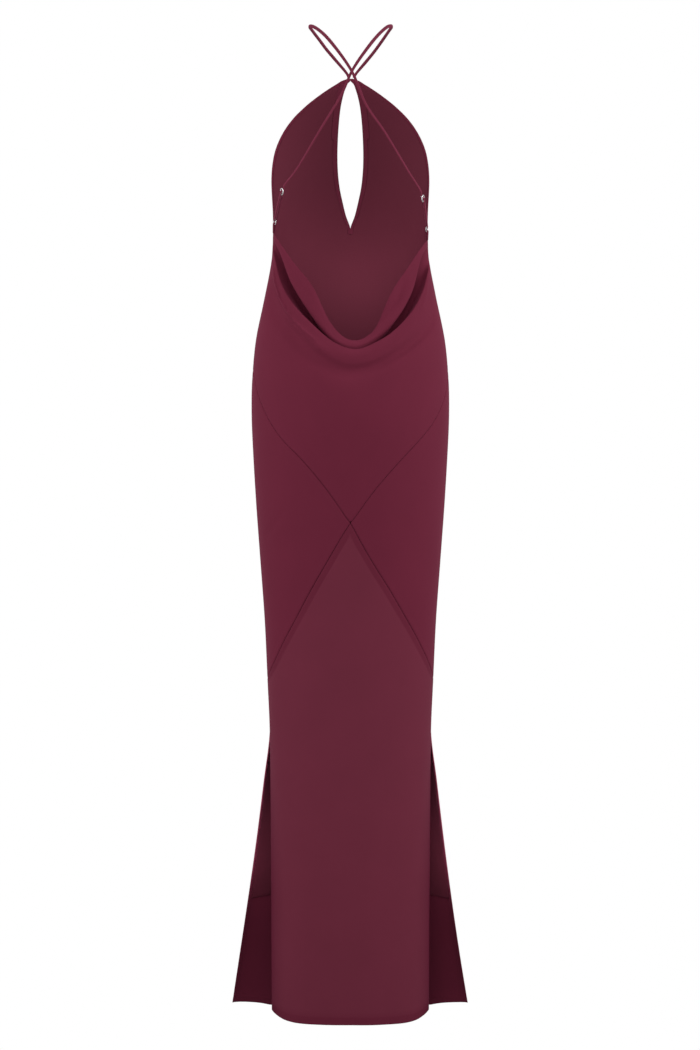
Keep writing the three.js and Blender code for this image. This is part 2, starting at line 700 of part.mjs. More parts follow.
function strap(name, side) {
  const { slider, ring, out, place } = hardwareFrame(side);
  const neckFace = (p) => new THREE.Vector3(p[0], p[1], Math.max(-p[2] - NAPE_DEPTH, 0) * 0.1).normalize();
  const route = strapRoutes[name];
  const stops = route.map((p, i) => ({
    point: new THREE.Vector3(...p), face: neckFace(p), size: neckSize(i, route.length),
  }));
  const add = (origin, t, n, face) => stops.push({ point: place(origin, t, n), face, size: STRAP });
  const under = SLIDER.wire + STRAP.thick / 2 + SEAM_GAP;
  const over = SLIDER.bar + STRAP.thick / 2 + SEAM_GAP;
  const round = RING.wire + STRAP.thick / 2 + SEAM_GAP;
  const half = SLIDER.halfLength;
  const onTop = [
    [-half - 6, -under], [-half - 0.8, -under - 0.15], [-half / 2, -0.15], [0, over + 0.1],
    [half, under + 0.15], [half + 4, under + 0.2],
  ];
  for (const [t, n] of onTop) add(slider, t, n, out);
  for (const part of evenly(WRAP_STEPS)) {
    const turn = Math.PI * part;
    const face = place(new THREE.Vector3(), Math.sin(turn), Math.cos(turn));
    add(ring, round * Math.sin(turn) - RING.radius, round * Math.cos(turn), face);
  }
  const beneath = [[half + 4, -under - 0.1], [half, -under - 0.1], [0.6, -over - 0.1]];
  for (const [t, n] of beneath) add(slider, t, n, out.clone().negate());
  return ribbon(stops, STRAP_STEPS);
}

// A closed mesh of the joining library, and back
const wasm = await Module();
wasm.setup();

function solid({ positions, index }) {
  return new wasm.Manifold(new wasm.Mesh({
    numProp: 3,
    vertProperties: new Float32Array(positions),
    triVerts: new Uint32Array(index),
  }));
}

function meshOf(joined) {
  const { vertProperties, triVerts } = joined.getMesh();
  const geometry = new THREE.BufferGeometry();
  geometry.setAttribute('position', new THREE.Float32BufferAttribute(vertProperties, 3));
  geometry.setIndex([...triVerts]);
  return geometry;
}

// A closed wire bent round an oval, in the frame of its slider or ring
const WIRE_STEPS = 20;
const WIRE_SIDES = 6;

function wireLoop(frame, centre, halfLength, halfWidth, wire) {
  const positions = [];
  const index = [];
  for (let i = 0; i < WIRE_STEPS; i += 1) {
    const turn = (2 * Math.PI * i) / WIRE_STEPS;
    const radial = frame.down.clone().multiplyScalar(Math.cos(turn) / halfLength)
      .addScaledVector(frame.across, Math.sin(turn) / halfWidth).normalize();
    const middle = centre.clone().addScaledVector(frame.down, halfLength * Math.cos(turn))
      .addScaledVector(frame.across, halfWidth * Math.sin(turn));
    const next = ((i + 1) % WIRE_STEPS) * WIRE_SIDES;
    for (let k = 0; k < WIRE_SIDES; k += 1) {
      const roll = (2 * Math.PI * k) / WIRE_SIDES;
      const point = middle.clone().addScaledVector(radial, wire * Math.cos(roll))
        .addScaledVector(frame.out, wire * Math.sin(roll));
      positions.push(...point.toArray());
      const [a, b] = [i * WIRE_SIDES + k, i * WIRE_SIDES + ((k + 1) % WIRE_SIDES)];
      const [c, d] = [next + k, next + ((k + 1) % WIRE_SIDES)];
      index.push(a, c, b, b, c, d);
    }
  }
  return { positions, index };
}

// The bar across the middle of a slider, from wire to wire
function crossBar(frame, centre, halfWidth, radius) {
  const bar = new THREE.CylinderGeometry(radius, radius, halfWidth * 2, 8);
  const turned = new THREE.Matrix4().makeBasis(frame.down, frame.across, frame.out);
  bar.deleteAttribute('normal');
  bar.deleteAttribute('uv');
  bar.applyMatrix4(turned.setPosition(centre));
  const merged = mergeVertices(bar, 1e-4);
  return { positions: [...merged.attributes.position.array], index: [...merged.index.array] };
}

function slider(side) {
  const frame = hardwareFrame(side);
  const loop = solid(wireLoop(frame, frame.slider, SLIDER.halfLength, SLIDER.halfWidth, SLIDER.wire));
  return meshOf(loop.add(solid(crossBar(frame, frame.slider, SLIDER.halfWidth, SLIDER.bar))));
}

function ring(side) {
  const frame = hardwareFrame(side);
  return meshOf(solid(wireLoop(frame, frame.ring, RING.radius, RING.radius, RING.wire)));
}

// A short tab of cloth holds each ring to the corner of the cowl
function ringTab(side) {
  const frame = hardwareFrame(side);
  const corner = new THREE.Vector3(...hardwarePlaces[side].corner);
  const round = RING.wire + TAB.thick / 2 + SEAM_GAP;
  const apart = TAB.thick / 2 + HALF_GAP;
  const stops = [];
  const add = (origin, t, n, face) => stops.push({ point: frame.place(origin, t, n), face, size: TAB });
  add(corner, 0, apart, frame.out);
  for (const part of evenly(WRAP_STEPS)) {
    const turn = Math.PI * part;
    const face = frame.place(new THREE.Vector3(), -Math.sin(turn), Math.cos(turn));
    add(frame.ring, RING.radius - round * Math.sin(turn), round * Math.cos(turn), face);
  }
  add(corner, 0, -apart, frame.out.clone().negate());
  return ribbon(stops, TAB_STEPS);
}

const pieces = [
  ['front_panel', frontPanel(), crepe()],
  ['front_lining', frontLining(), liningCloth()],
  ['keyhole_facing', keyholeFacing(), crepe()],
  ['back_cowl', backCowl(), crepe()],
  ['back_side_left', sidePiece('left'), crepe()],
  ['back_side_right', sidePiece('right'), crepe()],
  ['back_skirt', backSkirt(), crepe()],
  ['strap_left', strap('strap_left', 'left'), crepe()],
  ['strap_right', strap('strap_right', 'right'), crepe()],
];
for (const side of ['left', 'right']) {
  pieces.push([`slider_${side}`, slider(side), silver()]);
  pieces.push([`ring_${side}`, ring(side), silver()]);
  pieces.push([`ring_tab_${side}`, ringTab(side), crepe()]);
}

const dress = new THREE.Group();
for (const [name, geometry, material] of pieces) {
  const mesh = new THREE.Mesh(geometry, material);
  mesh.name = name;
  dress.add(mesh);
}

export default dress;
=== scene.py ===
import math

import bpy
import numpy as np
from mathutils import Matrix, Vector


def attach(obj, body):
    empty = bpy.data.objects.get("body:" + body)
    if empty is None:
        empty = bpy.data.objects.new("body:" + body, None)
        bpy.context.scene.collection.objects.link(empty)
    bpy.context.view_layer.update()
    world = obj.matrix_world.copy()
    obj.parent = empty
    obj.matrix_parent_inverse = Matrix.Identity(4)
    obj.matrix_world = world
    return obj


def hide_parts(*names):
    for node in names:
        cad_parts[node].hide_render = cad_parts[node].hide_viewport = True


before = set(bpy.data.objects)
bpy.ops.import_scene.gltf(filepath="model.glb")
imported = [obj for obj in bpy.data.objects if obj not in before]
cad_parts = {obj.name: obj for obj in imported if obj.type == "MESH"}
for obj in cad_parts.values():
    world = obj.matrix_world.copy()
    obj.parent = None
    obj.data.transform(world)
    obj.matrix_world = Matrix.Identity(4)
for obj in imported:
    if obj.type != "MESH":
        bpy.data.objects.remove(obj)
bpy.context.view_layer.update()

# Every table and shape below is in millimetres, in the frame of the CAD: +Z up, the front of the dress
# towards -Y and its left side towards +X. Meshes are made in metres, and so are the materials' sizes and
# the studio.
MM = 0.001

# How thick the crepe is, single and turned in, the lining, what its hem adds, and the facing. Lining and
# facing lie this far under the front's outer face.
CREPE = 0.8
TURNED = 1.5
LINING = 0.6
LINING_HEM = 0.5
FACING_CLOTH = 0.9
UNDER_PANEL = 1.8

# Half the gap between two pieces at a seam, and the trim along a row that meets a seam at a slant
SEAM_GAP = 0.15
SLANT = 1.4
SLANT_GAP = SLANT * SEAM_GAP

# Levels down the dress
KEYHOLE_TOP_Z = -72.6
KEYHOLE_FOOT_Z = -306.7
TACK_FOOT_Z = -316.7
FACING_TOP_Z = -77.0
THROAT_FACING_END_Z = -162
LINING_TOP_Z = -84
LINING_HEM_Z = -1400
SLIT_TOP_Z = -1125
FRONT_HEM_Z = -1569.5
BACK_HEM_Z = -1573
HEM_DIP_START_Z = -1400
SIDE_SEAM_TOP_Z = -330
COWL_CORNER_Z = dict(left=-330, right=-341)

# Widths of the strips along the front's edges
TACK_HALF_WIDTH = 4.5
THROAT_FACING = 11
FACING = 8
FOOT_FACING = 4.8
EDGE_ROLL = 4.5
SLIT_HEM = 11

# How wide the cloth is turned in at the edges
SEAM_TURN = 10
FRONT_SIDE_TURN = 10.5
FRONT_HEM_TURN = 12
LINING_HEM_TURN = 12
BACK_HEM_TURN = 13
KEYHOLE_TURN = 6

# How many columns of points each piece has across its half or its whole width
FRONT_COLUMNS = 40
LINING_COLUMNS = 32
FACING_COLUMNS = 4
SIDE_COLUMNS = 26
SKIRT_COLUMNS = 90
COWL_COLUMNS = 170

# Sections of the front are ellipses of this power, where they are round
FRONT_SQUARE = 2.1


def table(names, rows):
    """A table of named columns. Its first column is a height, which falls from row to row."""
    return dict(zip(names.split(), np.array(rows, float).T))


# Sections of the body of the dress: half width, depth at centre back, and how square the back is
BODY = table("z half back square", [
    [-330, 124, 70, 2.1],
    [-373, 126, 77, 2.1],
    [-437, 138, 90, 2.1],
    [-501, 151, 101, 2.1],
    [-565, 157, 112, 2.1],
    [-613, 158, 117, 2.1],
    [-661, 156.5, 117.5, 2.1],
    [-757, 151, 110, 2.1],
    [-853, 144, 101, 2.12],
    [-949, 137, 96, 2.15],
    [-1045, 132.5, 94, 2.2],
    [-1125, 129, 93, 2.25],
    [-1300, 127, 94, 2.35],
    [-1573, 125.5, 98, 2.5],
])

# Rows of the front: where its edge is, its depth at centre front, how round the row is and half the
# width of the keyhole
FRONT = table("z edge edge_y front round hole", [
    [-68.7, 3, -62, 62, 0, 0],
    [-72.6, 14, -62, 62.2, 0, 0],
    [-77.4, 22, -62, 63, 0, 4.9],
    [-84, 32.8, -62, 64, 0, 7.9],
    [-96, 50.4, -61, 68.5, 0, 12.1],
    [-114, 72.8, -59, 75.6, 0, 16.2],
    [-138, 95.9, -56, 85.2, 0, 19.1],
    [-162, 111.5, -51.7, 94.9, 0.02, 20.8],
    [-187, 121.7, -46.5, 103.6, 0.06, 21.6],
    [-212, 126.4, -40, 110.3, 0.15, 20.9],
    [-238, 127.8, -32.3, 114.9, 0.32, 18.1],
    [-264, 126.7, -23, 116.8, 0.54, 12.6],
    [-285, 125.2, -15, 115.4, 0.72, 7.4],
    [-306.7, 124.2, -7, 112, 0.88, 0],
    [-330, 124, 0, 107, 1, 0],
    [-373, 126, 0, 97, 1, 0],
    [-437, 138, 0, 94, 1, 0],
    [-501, 151, 0, 99, 1, 0],
    [-565, 157, 0, 104.5, 1, 0],
    [-613, 158, 0, 107, 1, 0],
    [-661, 156.5, 0, 107, 1, 0],
    [-757, 151, 0, 104, 1, 0],
    [-853, 144, 0, 101, 1, 0],
    [-949, 137, 0, 98.5, 1, 0],
    [-1045, 132.5, 0, 98, 1, 0],
    [-1125, 129, 0, 98, 1, 0],
    [-1205, 138.5, -5.2, 99.5, 0.86, 0],
    [-1300, 150.5, -13, 102, 0.66, 0],
    [-1400, 164.7, -22.7, 105, 0.5, 0],
    [-1500, 179.7, -33, 109, 0.4, 0],
    [-1569.5, 190.6, -40, 112, 0.35, 0],
])

# How far the front's hem dips below its corners, by the share of the way out to them (written as -share),
# and how far the back's hem is lifted near its corners, by the angle from a side seam (written as -angle)
FRONT_HEM_DIP = table("z dip", [[0, 17], [-0.5, 16.8], [-0.675, 15.3], [-0.76, 10.6], [-0.833, 7.2], [-1, 1]])
BACK_HEM_LIFT = table("z lift", [
    [0, 1.5], [-6, 4.4], [-13, 5.4], [-22, 4.5], [-30, 2.7], [-38, 0.7], [-51, -0.6], [-70, -0.3], [-90, 0],
])
HEM_LIFT_HEIGHT = 60

# The upper and the lower seam of each side piece, as degrees round the back from the side seams
UPPER_SEAM = table("z left right", [
    [-548, 0, 0],
    [-556, 9, 6],
    [-568, 15.5, 11],
    [-600, 26, 21.5],
    [-638, 38.4, 35.5],
    [-667, 49.4, 48.2],
    [-692, 60.4, 58.8],
    [-718, 69.6, 68.4],
    [-750, 79.1, 78.5],
    [-794, 90, 90],
])
LOWER_SEAM = table("z left right", [
    [-794, 90, 90],
    [-829, 82.3, 83.2],
    [-864, 74.2, 75],
    [-900, 65, 65],
    [-926, 58, 57.4],
    [-951, 50.6, 49.2],
    [-986, 38.2, 36],
    [-1012, 27.2, 24],
    [-1032, 14.5, 12],
    [-1042, 0, 0],
])
SIDE_TOP_Z = UPPER_SEAM["z"][0]
POINT_Z = UPPER_SEAM["z"][-1]
SIDE_FOOT_Z = LOWER_SEAM["z"][-1]

# The folds of the cowl from its top edge down. left and right are a fold's heights at its lowest point
# and at the shares FOLD_REACH of the way out to the side seam. sunk_left and sunk_right are how deep it
# lies there below a smooth bow, whose lowest point is at x and y and whose roundness is bow.
FOLD_REACH = np.array([0, 0.25, 0.5, 0.75, 0.9, 1])
COWL_FOLDS = [
    dict(left=[-509, -487, -423, -380, -350, -330], right=[-509, -492, -431, -385, -357, -341],
         sunk_left=[0, 0, 0, 0, 0, 0], sunk_right=[0, 0, 0, 0, 0, 0], x=-6, y=84, bow=1.6),
    dict(left=[-514, -498, -444, -394, -354, -335], right=[-514, -502, -461, -409, -364, -346],
         sunk_left=[0, 0, -1, -1, 0, 0], sunk_right=[0, 0, -1, -1, 0, 0], x=-6, y=90, bow=1.62),
    dict(left=[-519.5, -507, -469, -416, -367, -339], right=[-519, -508, -482, -432, -372, -350],
         sunk_left=[0, -1, -2, -2, 0, 0], sunk_right=[0, 0, -2, -2, 0, 0], x=-6, y=93, bow=1.62),
    dict(left=[-544, -532, -485, -429, -375, -342], right=[-543, -530, -494, -441, -380, -354],
         sunk_left=[1, 8, 20, 22, 16, 0], sunk_right=[1, 7, 15, 17, 12, 0], x=-7, y=94, bow=1.6),
    dict(left=[-542, -533, -495, -453, -409, -347], right=[-541, -532, -509, -472, -431, -371],
         sunk_left=[-2, 2, 12, 18, 13, 0], sunk_right=[-2, 1, 10, 15, 11, 0], x=-8, y=97, bow=1.72),
    dict(left=[-525, -514.5, -486.5, -449, -410, -353], right=[-525, -514.5, -495, -461, -424, -379],
         sunk_left=[0, 0, 0, 0, 0, 0], sunk_right=[0, 0, 0, -1, -1, 0], x=-9, y=100.5, bow=1.85),
    dict(left=[-532, -523, -498, -462, -424, -368], right=[-532, -526, -506, -476, -440, -393],
         sunk_left=[0, 0, 0, 0, 0, 0], sunk_right=[0, 0, 0, -1, -1, 0], x=-6, y=105.5, bow=1.95),
    dict(left=[-546, -534, -508, -474, -438, -387], right=[-546, -540, -520, -492, -462, -417],
         sunk_left=[0, -1, -3, -3, -1, 0], sunk_right=[0, 0, 0, 0, 0, 0], x=-2, y=107, bow=2),
    dict(left=[-557, -546, -520, -485, -454, -408], right=[-557, -551, -533, -506, -478, -440],
         sunk_left=[0, 0, 1, 2, 1, 0], sunk_right=[0, 0, 0, 0, 0, 0], x=0, y=104.5, bow=1.98),
    dict(left=[-576, -569, -547, -511, -484, -446], right=[-576, -568, -546, -518, -495, -466],
         sunk_left=[0, 0, 0, 0, 0, 0], sunk_right=[0, 0, 0, 0, 0, 0], x=0, y=111, bow=2.05),
    dict(left=[-601, -595, -576, -546, -525, -498], right=[-601, -594, -575, -549, -531, -506],
         sunk_left=[0, 0, 0, 0, 0, 0], sunk_right=[0, 0, 0, 0, 0, 0], x=0, y=115.5, bow=2.1),
]

# Straps, sliders and rings
STRAP = dict(width=3.8, thick=1.5)
NECK_STRAP = dict(width=5.4, thick=4.8)
STRAP_END = dict(width=4.4, thick=3)
TAB = dict(width=3.6, thick=1.3)
SLIDER = dict(half_length=5.3, half_width=4.8, wire=0.7, bar=0.6)
RING = dict(radius=3.9, wire=0.65)
CLOTH_TO_WIRE = 0.3
CORD_WAIST = 0.18
TWIST_LENGTH = 3.6
STRAP_TWIST = 0.05

# The way out from the body, for a fitting at x and y: the body there is wider than it is deep
OUTWARDS = np.array([1, 1.3, 0])
STRAP_ROUTES = {
    "strap_left": [
        [-5.4, -61.4, -67.6], [-9.6, -61.4, -60.5], [-23.6, -58, -44.5], [-38, -51, -28.5],
        [-50, -40, -14.5], [-61, -22, -2.5], [-66.2, -2, 1.2], [-59.5, 15, -3.2],
        [-46.4, 30, -17.6], [-28.7, 46.5, -42.4], [-3.3, 60.5, -82.6], [13.5, 70, -122],
        [46.8, 80, -179.4], [85.5, 70, -241.9],
    ],
    "strap_right": [
        [2.8, -61.4, -66.6], [5.6, -61.4, -61], [26.4, -57, -37.2], [39, -50.5, -23.8],
        [49.6, -41.5, -11.6], [60, -24, -1.8], [65.2, -3, 1.3], [58.8, 14, -3],
        [46.8, 28, -14.3], [31.2, 44, -34], [-2.2, 65.8, -85.8], [-25, 76, -140.8],
        [-53, 82, -183], [-90.3, 71, -242.4],
    ],
}
HARDWARE = {
    "left": dict(slider=[108, 51, -272], ring=[120.5, 13, -314], corner=[122.6, 4.6, -330.2]),
    "right": dict(slider=[-114.5, 46, -282], ring=[-121.8, 13, -325.5], corner=[-122.8, 4.6, -341.4]),
}


# Shape functions

def smooth_at(rows, column, z):
    """A table's column at height z: a cubic curve through the rows, sloping at each row as from the row
    before it to the row after it."""
    heights, values = rows["z"], rows[column]
    count = len(heights)
    z = np.clip(z, heights[-1], heights[0])
    i = np.clip(np.searchsorted(-heights, -z, side="right") - 1, 0, count - 2)
    before = np.maximum(np.arange(count) - 1, 0)
    after = np.minimum(np.arange(count) + 1, count - 1)
    slope = (values[after] - values[before]) / (heights[after] - heights[before])
    step = heights[i + 1] - heights[i]
    t = (z - heights[i]) / step
    h = 3 * t**2 - 2 * t**3
    bend = (1 - t) * slope[i] - t * slope[i + 1]
    return values[i] * (1 - h) + values[i + 1] * h + step * t * (1 - t) * bend


def ramp(value, start, end):
    """0 before start, 1 past end, and a smooth step between them."""
    t = np.clip((value - start) / (end - start), 0, 1)
    return t * t * (3 - 2 * t)


def bell(value, middle, width):
    """A hump of height 1 at the middle that dies away over the width on each side."""
    return np.exp(-(((value - middle) / width) ** 2))


def unit(vectors):
    """Each vector divided by its length."""
    return vectors / np.maximum(np.linalg.norm(vectors, axis=-1, keepdims=True), 1e-9)


def back_point(angle, z):
    """The back of the dress: x = half * cos^p and y = back * sin^p of the angle, with p = 2 / square and
    half, back and square read from BODY at height z. Angle 0 is the left side seam and 180 the right."""
    power = 2 / smooth_at(BODY, "square", z)
    turn = np.radians(angle)
    cosine, sine = np.cos(turn), np.abs(np.sin(turn))
    x = smooth_at(BODY, "half", z) * np.sign(cosine) * np.abs(cosine) ** power
    y = smooth_at(BODY, "back", z) * sine**power
    return np.stack(np.broadcast_arrays(x, y, z), axis=-1)


def back_angle(x, z):
    """The angle at which back_point has this x on the row at height z."""
    power = smooth_at(BODY, "square", z) / 2
    share = np.clip(x / smooth_at(BODY, "half", z), -1, 1)
    return np.degrees(np.arccos(np.sign(share) * np.abs(share) ** power))


def front_point(share, z):
    """The left half of the front. share runs from the centre or the keyhole (0) to the edge (1). x goes
    from hole to edge with sin^(2 / FRONT_SQUARE), and y falls from edge_y to the centre front on a bow
    that mixes a half ellipse and a parabola by the round column. Near the hem the middle of the row
    dips."""
    edge = smooth_at(FRONT, "edge", z)
    hole = np.maximum(smooth_at(FRONT, "hole", z), 0)
    rounding = smooth_at(FRONT, "round", z)
    x = hole + (edge - hole) * np.sin(np.radians(90 * np.clip(share, 0, 1))) ** (2 / FRONT_SQUARE)
    part = np.clip(x / edge, 0, 1)
    ellipse = (1 - part**FRONT_SQUARE) ** (1 / FRONT_SQUARE)
    bow = rounding * ellipse + (1 - rounding) * (1 - part * part)
    edge_y = smooth_at(FRONT, "edge_y", z)
    y = edge_y - (smooth_at(FRONT, "front", z) + edge_y) * bow
    dipping = np.clip((HEM_DIP_START_Z - z) / (HEM_DIP_START_Z - FRONT_HEM_Z), 0, 1)
    lowered = z - dipping * smooth_at(FRONT_HEM_DIP, "dip", -part)
    return np.stack(np.broadcast_arrays(x, y, lowered), axis=-1)


def facing_of(surface, a, b, step_a, step_b):
    """The way a surface faces at a and b, square to two small steps along it."""
    along = surface(a + step_a, b) - surface(a - step_a, b)
    up = surface(a, b + step_b) - surface(a, b - step_b)
    return unit(np.cross(along, up))


def front_facing(share, z):
    """The way the front faces, which is straight forward on its centre line."""
    step = 0.002
    found = facing_of(front_point, np.clip(share, 0, 1 - step / 2), z, step, 0.05)
    centre = (share <= 0) & (smooth_at(FRONT, "hole", z) <= 0)
    found[..., 0] = np.where(centre, 0, found[..., 0])
    return unit(found)


def back_facing(angle, z):
    """The way the back faces at an angle and height."""
    return facing_of(back_point, angle, z, 0.02, 0.05)


# Grids

# Distances from an edge at which points lie, for its rounded rim
NEAR_EDGE = np.array([0, 0.12, 0.4, 0.8, 1.5, 2.6, 4.2, 6.5])
ROW_STEPS = 600


def levels(*spans):
    """Heights down a piece: each span is (from, to, step)."""
    parts = [np.linspace(a, b, max(int(round(abs(b - a) / step)), 1) + 1) for a, b, step in spans]
    return np.unique(np.concatenate(parts))[::-1]


def above_hem(hem):
    """Heights close over a hem, down to it, for its rounded rim."""
    return (hem + NEAR_EDGE)[:-1][::-1]


def places(lengths, start, end, count):
    """Distances along rows of these lengths, from start to length - end, close together at both ends."""
    room = lengths - start - end
    squeeze = np.clip(room / (5 * NEAR_EDGE[-1]), 0, 1)[:, None]
    first = NEAR_EDGE[None, :] * squeeze
    inner = np.linspace(0, 1, count + 2)[1:-1][None, :]
    low, high = first[:, -1:], room[:, None] - first[:, -1:]
    middle = low + (high - low) * inner
    return start[:, None] + np.concatenate([first, middle, room[:, None] - first[:, ::-1]], axis=1)


def shares_at(surface, z, start, end, lowest, highest, count):
    """For each row of a surface, the shares that lie at even distances between two trims of its ends,
    and those distances. The row's length is measured along ROW_STEPS small steps."""
    samples = np.linspace(0, 1, ROW_STEPS + 1)
    share = lowest[:, None] + (highest - lowest)[:, None] * samples[None, :]
    points = surface(share, z[:, None])
    steps = np.linalg.norm(np.diff(points, axis=1), axis=-1)
    walked = np.concatenate([np.zeros((len(z), 1)), np.cumsum(steps, axis=1)], axis=1)
    total = walked[:, -1]
    scale = np.minimum(1, total / np.maximum(3 * (start + end), 1e-6))
    wanted = places(total, start * scale, end * scale, count)
    rows = [np.interp(w, d, s) for w, d, s in zip(wanted, walked, share)]
    return np.array(rows), wanted


def distance_to(points, line):
    """How far each point is from a line of short straight parts: the least distance to any part."""
    a, b = line[:-1], line[1:]
    along = b - a
    square = np.maximum((along**2).sum(-1), 1e-12)
    flat = points.reshape(-1, 3)
    out = np.empty(len(flat))
    for i in range(0, len(flat), 3000):
        offset = flat[i:i + 3000, None, :] - a[None]
        t = np.clip((offset * along[None]).sum(-1) / square, 0, 1)
        out[i:i + 3000] = np.sqrt(((offset - t[..., None] * along[None]) ** 2).sum(-1).min(axis=1))
    return out.reshape(points.shape[:-1])


def to_lines(points, lines):
    """How far each point is from the nearest of several lines."""
    return np.minimum.reduce([distance_to(points, line) for line in lines])


def grid_normals(points):
    """The way each point of a grid faces, square to the steps to its neighbours."""
    return unit(np.cross(np.gradient(points, axis=0), np.gradient(points, axis=1)))


def grid_faces(rows, columns, turned, first=0):
    """Two triangles to each cell of a grid."""
    r, c = np.meshgrid(np.arange(rows - 1), np.arange(columns - 1), indexing="ij")
    a = (first + r * columns + c).ravel()
    b, d = a + 1, a + columns
    e = d + 1
    pairs = [(a, d, b), (b, d, e)] if turned else [(a, b, d), (b, e, d)]
    return np.concatenate([np.stack(p, axis=1) for p in pairs])


def cloth(patches):
    """A closed sheet from grids that share edges. Each patch has points, normals, uv, the depth of its
    outer and of its inner face below the points, and a turned flag, and it may say how far the cloth
    takes its deep colour. On the border both faces meet halfway, so the rim is round. Points at one
    place are one point."""
    points = np.concatenate([p["points"].reshape(-1, 3) for p in patches])
    normals = np.concatenate([p["normals"].reshape(-1, 3) for p in patches])
    uv = np.concatenate([p["uv"].reshape(-1, 2) for p in patches])
    outer = np.concatenate([p["outer"].ravel() for p in patches])
    inner = np.concatenate([p["inner"].ravel() for p in patches])
    deep = np.concatenate([p.get("deep", np.zeros(p["outer"].shape)).ravel() for p in patches])
    faces, first = [], 0
    for p in patches:
        rows, columns = p["points"].shape[:2]
        faces.append(grid_faces(rows, columns, p["turned"], first))
        first += rows * columns
    faces = np.concatenate(faces)

    keys = np.round(points * 200).astype(np.int64)
    _, kept, number = np.unique(keys, axis=0, return_index=True, return_inverse=True)
    number = number.ravel()
    faces = number[faces]
    whole = (faces[:, 0] != faces[:, 1]) & (faces[:, 1] != faces[:, 2]) & (faces[:, 2] != faces[:, 0])
    faces = faces[whole]
    points, normals, uv = points[kept], normals[kept], uv[kept]
    outer, inner, deep = outer[kept], inner[kept], deep[kept]

    count = len(points)
    edges = np.concatenate([faces[:, [0, 1]], faces[:, [1, 2]], faces[:, [2, 0]]])
    forward, backward = edges[:, 0] * count + edges[:, 1], edges[:, 1] * count + edges[:, 0]
    border = np.unique(edges[~np.isin(backward, forward)])
    outer[border] = (outer[border] + inner[border]) / 2
    inner_number = np.full(count, -1)
    free = np.ones(count, bool)
    free[border] = False
    inner_number[border] = border
    inner_number[free] = count + np.arange(free.sum())
    outside = points - normals * outer[:, None]
    inside = (points - normals * inner[:, None])[free]
    back = inner_number[faces][:, ::-1]
    return dict(
        points=np.concatenate([outside, inside]),
        faces=np.concatenate([faces, back]),
        uv=np.concatenate([uv, uv[free]]),
        deep=np.concatenate([deep, deep[free]]),
    )


def joined(*parts):
    """Several closed meshes as one."""
    shifts = np.cumsum([0] + [len(p["points"]) for p in parts[:-1]])
    return dict(
        points=np.concatenate([p["points"] for p in parts]),
        faces=np.concatenate([p["faces"] + s for p, s in zip(parts, shifts)]),
        uv=np.concatenate([p["uv"] for p in parts]),
    )


def make_piece(name, shape, material, nodes):
    """Puts a shape into a smooth mesh, in metres, with its UV map and how far its cloth takes its deep
    colour, and seats it in the frame in place of its CAD nodes."""
    mesh = bpy.data.meshes.new(name)
    faces = shape["faces"]
    mesh.vertices.add(len(shape["points"]))
    mesh.vertices.foreach_set("co", (shape["points"] * MM).ravel())
    mesh.loops.add(faces.size)
    mesh.loops.foreach_set("vertex_index", faces.ravel())
    mesh.polygons.add(len(faces))
    mesh.polygons.foreach_set("loop_start", np.arange(len(faces)) * 3)
    mesh.polygons.foreach_set("use_smooth", np.ones(len(faces), bool))
    layer = mesh.uv_layers.new(name="cloth")
    layer.data.foreach_set("uv", (shape["uv"][faces.ravel()] * MM).ravel())
    deep = mesh.attributes.new("deep", "FLOAT", "POINT")
    deep.data.foreach_set("value", shape.get("deep", np.zeros(len(shape["points"]))))
    mesh.update(calc_edges=True)
    mesh.validate()
    mesh.materials.append(material)
    piece = bpy.data.objects.new(name, mesh)
    bpy.context.scene.collection.objects.link(piece)
    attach(piece, "root")
    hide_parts(*nodes)
    return piece


# Relief shared by the cloth pieces

# How deep and how wide cloth rolls in at a seam, and the furrows where a seam's and a hem's turnings end
SEAM_ROLL = (0.75, 1.5)
SEAM_FURROW = (0.12, 1.8)
HEM_FURROW = (0.16, 1.6)


def groove(distance, middle, size):
    """A groove of a depth and a width, at the middle."""
    depth, width = size
    return depth * bell(distance, middle, width)


def seam_dip(distance):
    """How far cloth sinks beside a seam: it rolls in over the last two millimetres, and a faint furrow
    shows where its turning ends."""
    return groove(distance, 0, SEAM_ROLL) + groove(distance, SEAM_TURN + 0.5, SEAM_FURROW)


def hem_dip(distance, width):
    """The faint furrow where a turned hem ends, so many millimetres in from the edge."""
    return groove(distance, width, HEM_FURROW)


def rim(distance, thick):
    """How far a face falls back at a rounded edge, as a quarter circle of half the cloth's thickness."""
    radius = thick / 2
    inside = np.clip(radius - distance, 0, radius)
    return radius - np.sqrt(np.maximum(radius**2 - inside**2, 0))


def turned_cloth(past, blend=0.5):
    """The thickness of cloth that is turned in at its edges, by how far a point is past the end of the
    turning: the cloth is thicker before it, and the step is smooth over the blend on each side."""
    return CREPE + (TURNED - CREPE) * (1 - ramp(past, -blend, blend))


def layer_depths(edge, thick, dip, under=0):
    """Depths of the outer and the inner face of cloth this far from its edge."""
    fall = rim(edge, thick)
    return under + dip + fall, under + dip + thick - fall


# Soft upright folds of the skirt's front and back: how high they are, the heights between which they
# grow, and the length, start and share of each wave
FRONT_WAVES = dict(height=0.9, top=-1000, foot=-1560, rows=[(21, 0.7, 1), (12.5, -1.1, 0.7), (34, 2.2, 0.45)])
BACK_WAVES = dict(height=0.22, top=-900, foot=-1450, rows=[(13, 0.4, 1), (8.3, 2.0, 0.8), (27, -0.6, 0.6)])


def upright_folds(x, z, folds):
    """Waves across the skirt, added up, in millimetres. They grow from the top height to the foot."""
    grown = ramp(-z, -folds["top"], -folds["foot"])
    added = sum(share * np.sin(x / length + start) for length, start, share in folds["rows"])
    return folds["height"] * grown * added


# Front

# Gathers where the front is drawn in at the throat
GATHER_Z = -76
GATHER_REACH = 16
GATHER_DEPTH = 0.35

